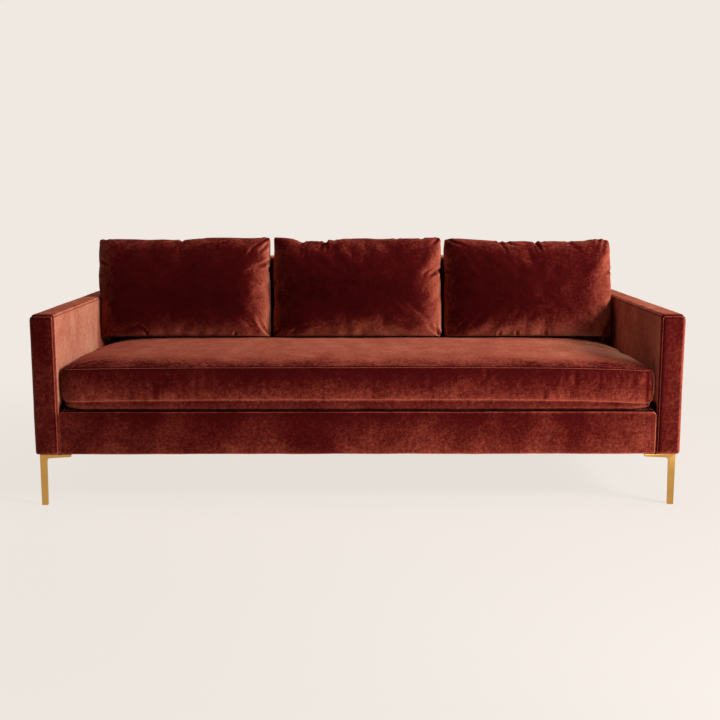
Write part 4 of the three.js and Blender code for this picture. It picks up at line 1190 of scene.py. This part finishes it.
# How much lighter or darker each cushion's velvet is, place by place: more is lighter, and less is darker. Most
# of it is painted light and painted shade.
whole_painted_shade = {"left": -0.07, "centre": -0.04, "right": 0.0}
left_edge_painted_shade = {"left": -0.04, "centre": -0.26, "right": -0.26}
right_edge_painted_light = {"left": 0.14, "centre": -0.02, "right": -0.22}
left_half_painted_shade = {"left": -0.15, "centre": -0.08, "right": -0.06}
low_painted_light = {"left": 0.12, "centre": 0.16, "right": 0.16}
tucked_painted_shade = {"left": 0.0, "centre": 0.0, "right": -0.28}
cushion_top_painted_shade = -0.40

# How far each seam lies beyond its straight line, in units of a little under a millimetre, at places from -1
# to 1 along it.
line_unit = 0.0009
top_lines = {
    "left": [(-1, -1), (-0.75, 0), (-0.5, 0), (-0.4, -3), (-0.3, 0), (-0.08, -1), (-0.04, -7), (0.0, 0),
             (0.25, 8), (0.45, 8), (0.65, 5), (0.8, 7), (1, 10)],
    "centre": [(-1, 9), (-0.87, 7), (-0.77, 3), (-0.64, -14), (-0.52, -7), (-0.44, -8), (-0.4, -11), (-0.34, -3),
               (-0.26, -2), (-0.15, 4), (0.1, 6), (0.3, 2), (0.4, 4), (0.7, 4), (0.76, 3), (0.8, 8), (1, 10)],
    "right": [(-1, 0), (-0.9, 5), (-0.74, 1), (-0.55, -3), (-0.38, -8), (-0.31, -13), (-0.2, -9), (-0.05, -7),
              (0.02, -9), (0.065, -16), (0.11, -10), (0.3, -8), (0.4, -11), (0.6, -9), (0.68, -7), (0.74, -2),
              (0.86, 2), (0.94, 0), (1, -9)],
}
right_lines = {
    "left": [(-1, -6), (-0.85, 2), (-0.4, 3), (0.2, 2), (0.42, -6), (0.55, 1), (1, 0)],
    "centre": [(-1, -5), (-0.8, 2), (-0.3, 4), (0.2, 1), (0.34, -7), (0.48, 0), (0.8, 2), (1, -1)],
    "right": [(-1, -4), (-0.8, 3), (-0.3, 5), (0.1, 2), (0.27, -5), (0.4, 1), (0.8, 0), (1, -6)],
}
left_lines = {
    "left": [(-1, -5), (-0.7, 0), (-0.3, 0), (-0.05, 3), (0.1, 14), (0.3, 19), (0.5, 11), (0.62, 17), (0.8, 18),
             (1, 18)],
    "centre": [(-1, -4), (-0.8, 1), (-0.4, 2), (-0.25, -3), (0.1, 1), (0.5, 2), (0.75, -1), (1, 2)],
    "right": [(-1, -3), (-0.6, 1), (0.0, 2), (0.25, -4), (0.4, 1), (0.8, 3), (1, -2)],
}

# The folds that run in from each seam: a line, a depth and a width.
fold_depth_share, fold_width_share = 1.25, 0.85
folds = {
    "left": [
        ([(322, 384), (290, 362), (258, 335), (240, 305)], 7, 9), ([(322, 372), (302, 340), (280, 318)], 5, 8),
        ([(322, 290), (300, 276), (268, 262)], 6, 9), ([(322, 6), (300, 30), (275, 70)], 6, 9),
        ([(322, 20), (306, 52)], 5, 7), ([(-14, 384), (-22, 366), (-34, 352)], 5, 9),
        ([(-318, 384), (-296, 350)], 4, 9), ([(-324, 292), (-300, 280), (-276, 272)], 4, 9),
        ([(-140, 0), (-150, 26), (-170, 46)], 5, 9), ([(190, 0), (196, 22)], 5, 8),
        ([(-322, 236), (-300, 228)], 3, 8)],
    "centre": [
        ([(-116, 384), (-130, 352), (-150, 318)], 7, 9), ([(-130, 384), (-118, 350), (-114, 304)], 5, 8),
        ([(-208, 378), (-214, 352), (-226, 334)], 5, 9), ([(-84, 384), (-96, 368)], 4, 7),
        ([(318, 384), (296, 360), (276, 340)], 6, 9), ([(324, 258), (304, 250), (268, 226)], 7, 9),
        ([(322, 4), (296, 22), (266, 42)], 6, 10), ([(316, 0), (304, 30), (300, 56)], 5, 8),
        ([(-322, 6), (-300, 26), (-282, 52)], 5, 8), ([(-324, 206), (-306, 210)], 4, 8),
        ([(150, 384), (156, 366)], 4, 9), ([(250, 384), (240, 366)], 4, 9)],
    "right": [
        ([(-318, 384), (-286, 362), (-244, 342)], 6, 9), ([(-300, 386), (-262, 368)], 4, 7),
        ([(-117, 376), (-104, 350), (-90, 318)], 7, 8), ([(-92, 376), (-70, 352), (-30, 344)], 4, 8),
        ([(22, 374), (34, 344), (40, 314)], 7, 8), ([(46, 376), (60, 356)], 4, 8),
        ([(278, 384), (262, 352), (252, 326)], 4, 8), ([(302, 384), (286, 344), (278, 318)], 3.5, 8),
        ([(322, 254), (300, 248), (270, 232)], 5, 8), ([(-324, 252), (-296, 240)], 4, 9),
        ([(-120, 0), (-116, 22)], 4, 8), ([(-50, 0), (-56, 24)], 5, 8), ([(60, 0), (52, 24)], 5, 8),
        ([(150, 378), (160, 352), (176, 336)], 3, 10)],
}


def beyond(line, place):
    """How far a seam lies beyond its straight line, at a place from -1 to 1 along it."""
    places, reach = zip(*line)
    return np.interp(place, places, reach) * line_unit


def cushion_form(where, u, v, side):
    """A point of a cushion as it is sewn: side is -1 on the front panel and 1 on the rear one, and on the seam
    any side will do. u and v go from -1 to 1 across and up the panel."""
    spread = (1 - u ** 4) * (1 - v ** 4)
    y = -front_swell * spread ** 0.5 if side < 0 else rear_swell * spread ** 0.36
    outward = beyond(right_lines[where], v) if u > 0 else -beyond(left_lines[where], v)
    x, half_height = u * half_width, (seam_top + cushion_tuck) / 2
    z = v * half_height
    over_x, over_z = (abs(x) - half_width) / seam_corner + 1, (abs(z) - half_height) / seam_corner + 1
    if over_x > 0 and over_z > 0:
        x = math.copysign(half_width + seam_corner * (over_x * math.sqrt(1 - over_z * over_z / 2) - 1), x)
        z = math.copysign(half_height + seam_corner * (over_z * math.sqrt(1 - over_x * over_x / 2) - 1), z)
    z += half_height - cushion_tuck
    return x + outward * abs(u) ** 6, y, z + beyond(top_lines[where], u) * max(v, 0) ** 3


def cushion_cut(u, v):
    """The same point of the flat cloth as it is cut, with bowed edges that give the fill its room."""
    half_height = (seam_top + cushion_tuck) / 2
    x = u * (half_width * cut_larger + side_bow * (1 - v * v))
    z = half_height - cushion_tuck + v * (half_height * cut_larger + top_bow * (1 - u * u))
    return x, 0.0, z


for number, where in enumerate(["left", "centre", "right"]):
    index, begun, cut, rim, faces = {}, [], [], [], []
    for i in range(cushion_columns + 1):
        for j in range(cushion_rows + 1):
            u, v = 2 * i / cushion_columns - 1, 2 * j / cushion_rows - 1
            on_rim = i in (0, cushion_columns) or j in (0, cushion_rows)
            for side in ((0,) if on_rim else (-1, 1)):
                index[(i, j, side)] = len(begun)
                if on_rim:
                    rim.append(len(begun))
                begun.append(cushion_form(where, u, v, side))
                cut.append(cushion_cut(u, v))
    for i in range(cushion_columns):
        for j in range(cushion_rows):
            for side in (-1, 1):
                q = [index.get((i + a, j + b, side), index.get((i + a, j + b, 0)))
                     for a, b in ((0, 0), (1, 0), (1, 1), (0, 1))]
                faces.append(q if side < 0 else q[::-1])

    points = np.array(begun)
    free = np.ones(len(points), bool)
    free[rim] = False
    ripple = 0.006 * cloud(points * np.array([1, 0.3, 1]), 0.045, 60 + number)
    sunk = points * np.array([1, 0.86, 1])
    sunk[free, 1] += ripple[free] * np.sign(points[free, 1])
    points = blown_up(f"cushion_cloth_{where}", sunk, cut, faces, rim, 0.4, 7.0, 0.5, 18, volume=0.046)
    points[:, 1] *= np.where(
        points[:, 1] < 0, front_swell / -points[:, 1].min(), rear_swell / points[:, 1].max())

    # Both sides reach as far as they should, and the front's cloth is moved out towards them where it is fuller.
    reach_left, reach_right = side_reach[where]
    points[:, 0] *= np.where(
        points[:, 0] < 0, -reach_left / points[:, 0].min(), reach_right / points[:, 0].max())
    across = points[:, 0] / np.where(points[:, 0] < 0, reach_left, reach_right)
    full_left, full_right = side_fullness[where]
    fullness = np.where(across < 0, full_left, full_right) * np.clip((np.abs(across) - 0.3) / 0.3, 0, 1)
    fuller = np.sign(across) * np.abs(across) ** (1 - fullness)
    across = np.where((np.abs(across) < 1) & (points[:, 1] < 0), fuller, across)
    points[:, 0] = across * np.where(across < 0, reach_left, reach_right)

    # The folds of its front, drawn in one after another.
    points, faces = finer(points, faces)
    creased = np.zeros(len(points))
    for line, depth, width in folds[where]:
        points, raised = fold(
            points, normals_of(points, faces), line, depth * fold_depth_share, width * fold_width_share)
        creased += raised

    # The foot lies flat on the seat cushion and the rear against the back, and the zip's fold goes up into the
    # foot.
    points[:, 2] = (points[:, 2] + np.hypot(points[:, 2], foot_round)) / 2
    points[:, 1] = np.minimum(points[:, 1], rear_swell + rear_slack)
    zip_fold = (short_of(np.abs(points[:, 1]), fold_half + 0.0025, 0.004) * (points[:, 2] < 0.02)
                * short_of(np.abs(points[:, 0]), cushion_zip_half + 0.003, 0.006))
    points[:, 2] += (fold_depth + 0.0002 - points[:, 2]) * zip_fold

    face = normals_of(points, faces)
    x, z = points[:, 0], points[:, 2]
    low_third, low_half = short_of(z, 0.15, 0.15), short_of(z, 0.30, 0.25)
    tucked = past(x - 0.39 * (z - 0.04), 0.285, 0.014) * short_of(z, 0.145, 0.02)
    # Painted shade: over the left and centre cushions, on their tops, on their left sides, on the centre and
    # right ones' right sides, low on the left of each, in the zip's fold and the creases' hollows, and over the
    # right cushion's lower right corner, in the right arm's shadow. Painted light: on the left cushion's right
    # side, on each lower third, where light comes up from the seat, and on the creases' shoulders. The clouds
    # are the pile's own tone.
    laid = (whole_painted_shade[where] + low_painted_light[where] * low_third + cushion_top_painted_shade * np.clip(face[:, 2], 0, 1)
            + left_edge_painted_shade[where] * np.clip(-face[:, 0], 0, 1)
            + right_edge_painted_light[where] * np.clip(face[:, 0], 0, 1)
            + left_half_painted_shade[where] * short_of(x, -0.1, 0.22) * low_half + tucked_painted_shade[where] * tucked
            + zip_fold_painted_shade * zip_fold + crease_painted_shading * creased
            + layered(points, (0.05, 0.12, 70 + number), (0.05, 0.05, 80 + number)))
    shift = Vector(((number - 1) * (cushion_width + cushion_gap), 0, 0)) + lean_foot
    points = points @ np.array(tilt).T + np.array(shift)
    upholstered(
        f"back_cushion_{where}", points, faces, f"back_cushion_{where}",
        [f"back_cushion_cover_{where}", f"back_cushion_fill_{where}"], laid)

# Zips: a woven tape sewn in at the bottom of a fold of each loose cover, two rows of teeth that mesh along its
# middle, and a slider with a flat pull that waits at the left end, all enamelled in the colour of the velvet.
tape_half, tape_thickness, tape_end, tape_edge, tape_cell = 0.0072, 0.0006, 0.004, 0.0002, 0.03
tooth_pitch, tooth_length, tooth_width, tooth_height = 0.0024, 0.0013, 0.0034, 0.0021
tooth_offset, slider_edge = 0.0012, 0.0003

tape_cloth, tree, shader = plain_material("zip_tape", Roughness=0.85)
place = add_node(tree, "ShaderNodeTexCoord")
ribs = place_group(tree, grain_group, {"Stretch": (1, 0.06, 1), "Line Scale": 1600, "Patch Scale": 60})
shade = two_tones(tree, (0.075, 0.012, 0.010, 1), (0.150, 0.030, 0.022, 1))
relief = add_node(tree, "ShaderNodeBump", {"Strength": 0.6, "Distance": 0.0003})
join(tree,
     (place, "Object", ribs, "Vector"), (ribs, "Lines", shade, 0), (shade, 2, shader, "Base Color"),
     (ribs, "Lines", relief, "Height"), (relief, 0, shader, "Normal"))
enamel = lined_material(
    "zip_enamel", (0.075, 0.014, 0.010, 1), (0.115, 0.024, 0.017, 1), (1, 1, 1), 900, 80, (0.26, 0.40), 0,
    0.00005)


def on_seat_boxing(places):
    """Places along, across and out from the bottom of a zip's fold, put on the rear of the seat cushion."""
    return np.stack([places[:, 0], seat_zip_face - fold_depth + places[:, 2], seat_zip_z + places[:, 1]], axis=1)


def on_cushion_foot(number):
    """The same on the foot of a back cushion, which leans back: 0, 1 and 2 are left, centre and right."""
    aside = [(number - 1) * (cushion_width + cushion_gap), 0, 0]

    def put(places):
        local = np.stack([places[:, 0], places[:, 1], fold_depth - places[:, 2]], axis=1)
        return local @ np.array(tilt).T + np.array(lean_foot) + aside
    return put


def placed_piece(name, points, faces, put, material, body, angle):
    """A piece of a zip: its points are put in place on a cushion, and it rides on that cushion's body."""
    mesh = bpy.data.meshes.new(name)
    mesh.from_pydata([tuple(p) for p in put(points)], [], faces)
    mesh.materials.append(material)
    shape = bmesh.new()
    shape.from_mesh(mesh)
    bmesh.ops.recalc_face_normals(shape, faces=shape.faces)
    shape.to_mesh(mesh)
    shape.free()
    smooth(mesh, angle)
    piece = collection_link(bpy.data.objects.new(name, mesh))
    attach(piece, body)
    return piece


for name, half, put in [("seat_cushion", seat_zip_half, on_seat_boxing)] + [
        (f"back_cushion_{where}", cushion_zip_half, on_cushion_foot(number))
        for number, where in enumerate(["left", "centre", "right"])]:
    points, faces = soft_box((-half, -tape_half, 0), (half, tape_half, tape_thickness), tape_edge, tape_cell)
    placed_piece(f"{name}_zip_tape", points, faces, put, tape_cloth, name, math.radians(40))
    tooth_rows = []
    for side in (-1, 1):
        start = -half + tape_end + (side + 1) * tooth_pitch / 4
        z = tape_thickness + tooth_height / 2
        tooth_rows.append(([(start, side * tooth_offset, z), (half - tape_end, side * tooth_offset, z)], False))
    teeth = small_row(f"{name}_teeth", tooth_rows, enamel, tooth_pitch, tooth_length, tooth_height, tooth_width)
    corners = np.array([v.co[:] for v in teeth.data.vertices])
    sides = [list(p.vertices) for p in teeth.data.polygons]
    bpy.data.objects.remove(teeth)
    placed_piece(f"{name}_zip_teeth", corners, sides, put, enamel, name, math.radians(60))
    slider_node = name.replace("seat_cushion", "seat_cushion_zip_slider").replace(
        "back_cushion_", "back_cushion_zip_slider_")
    slider = eased_copy(slider_node, slider_edge, f"{name}_slider")
    slider.data.materials.append(enamel)
    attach(slider, f"{name}_zip")
    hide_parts(slider_node)
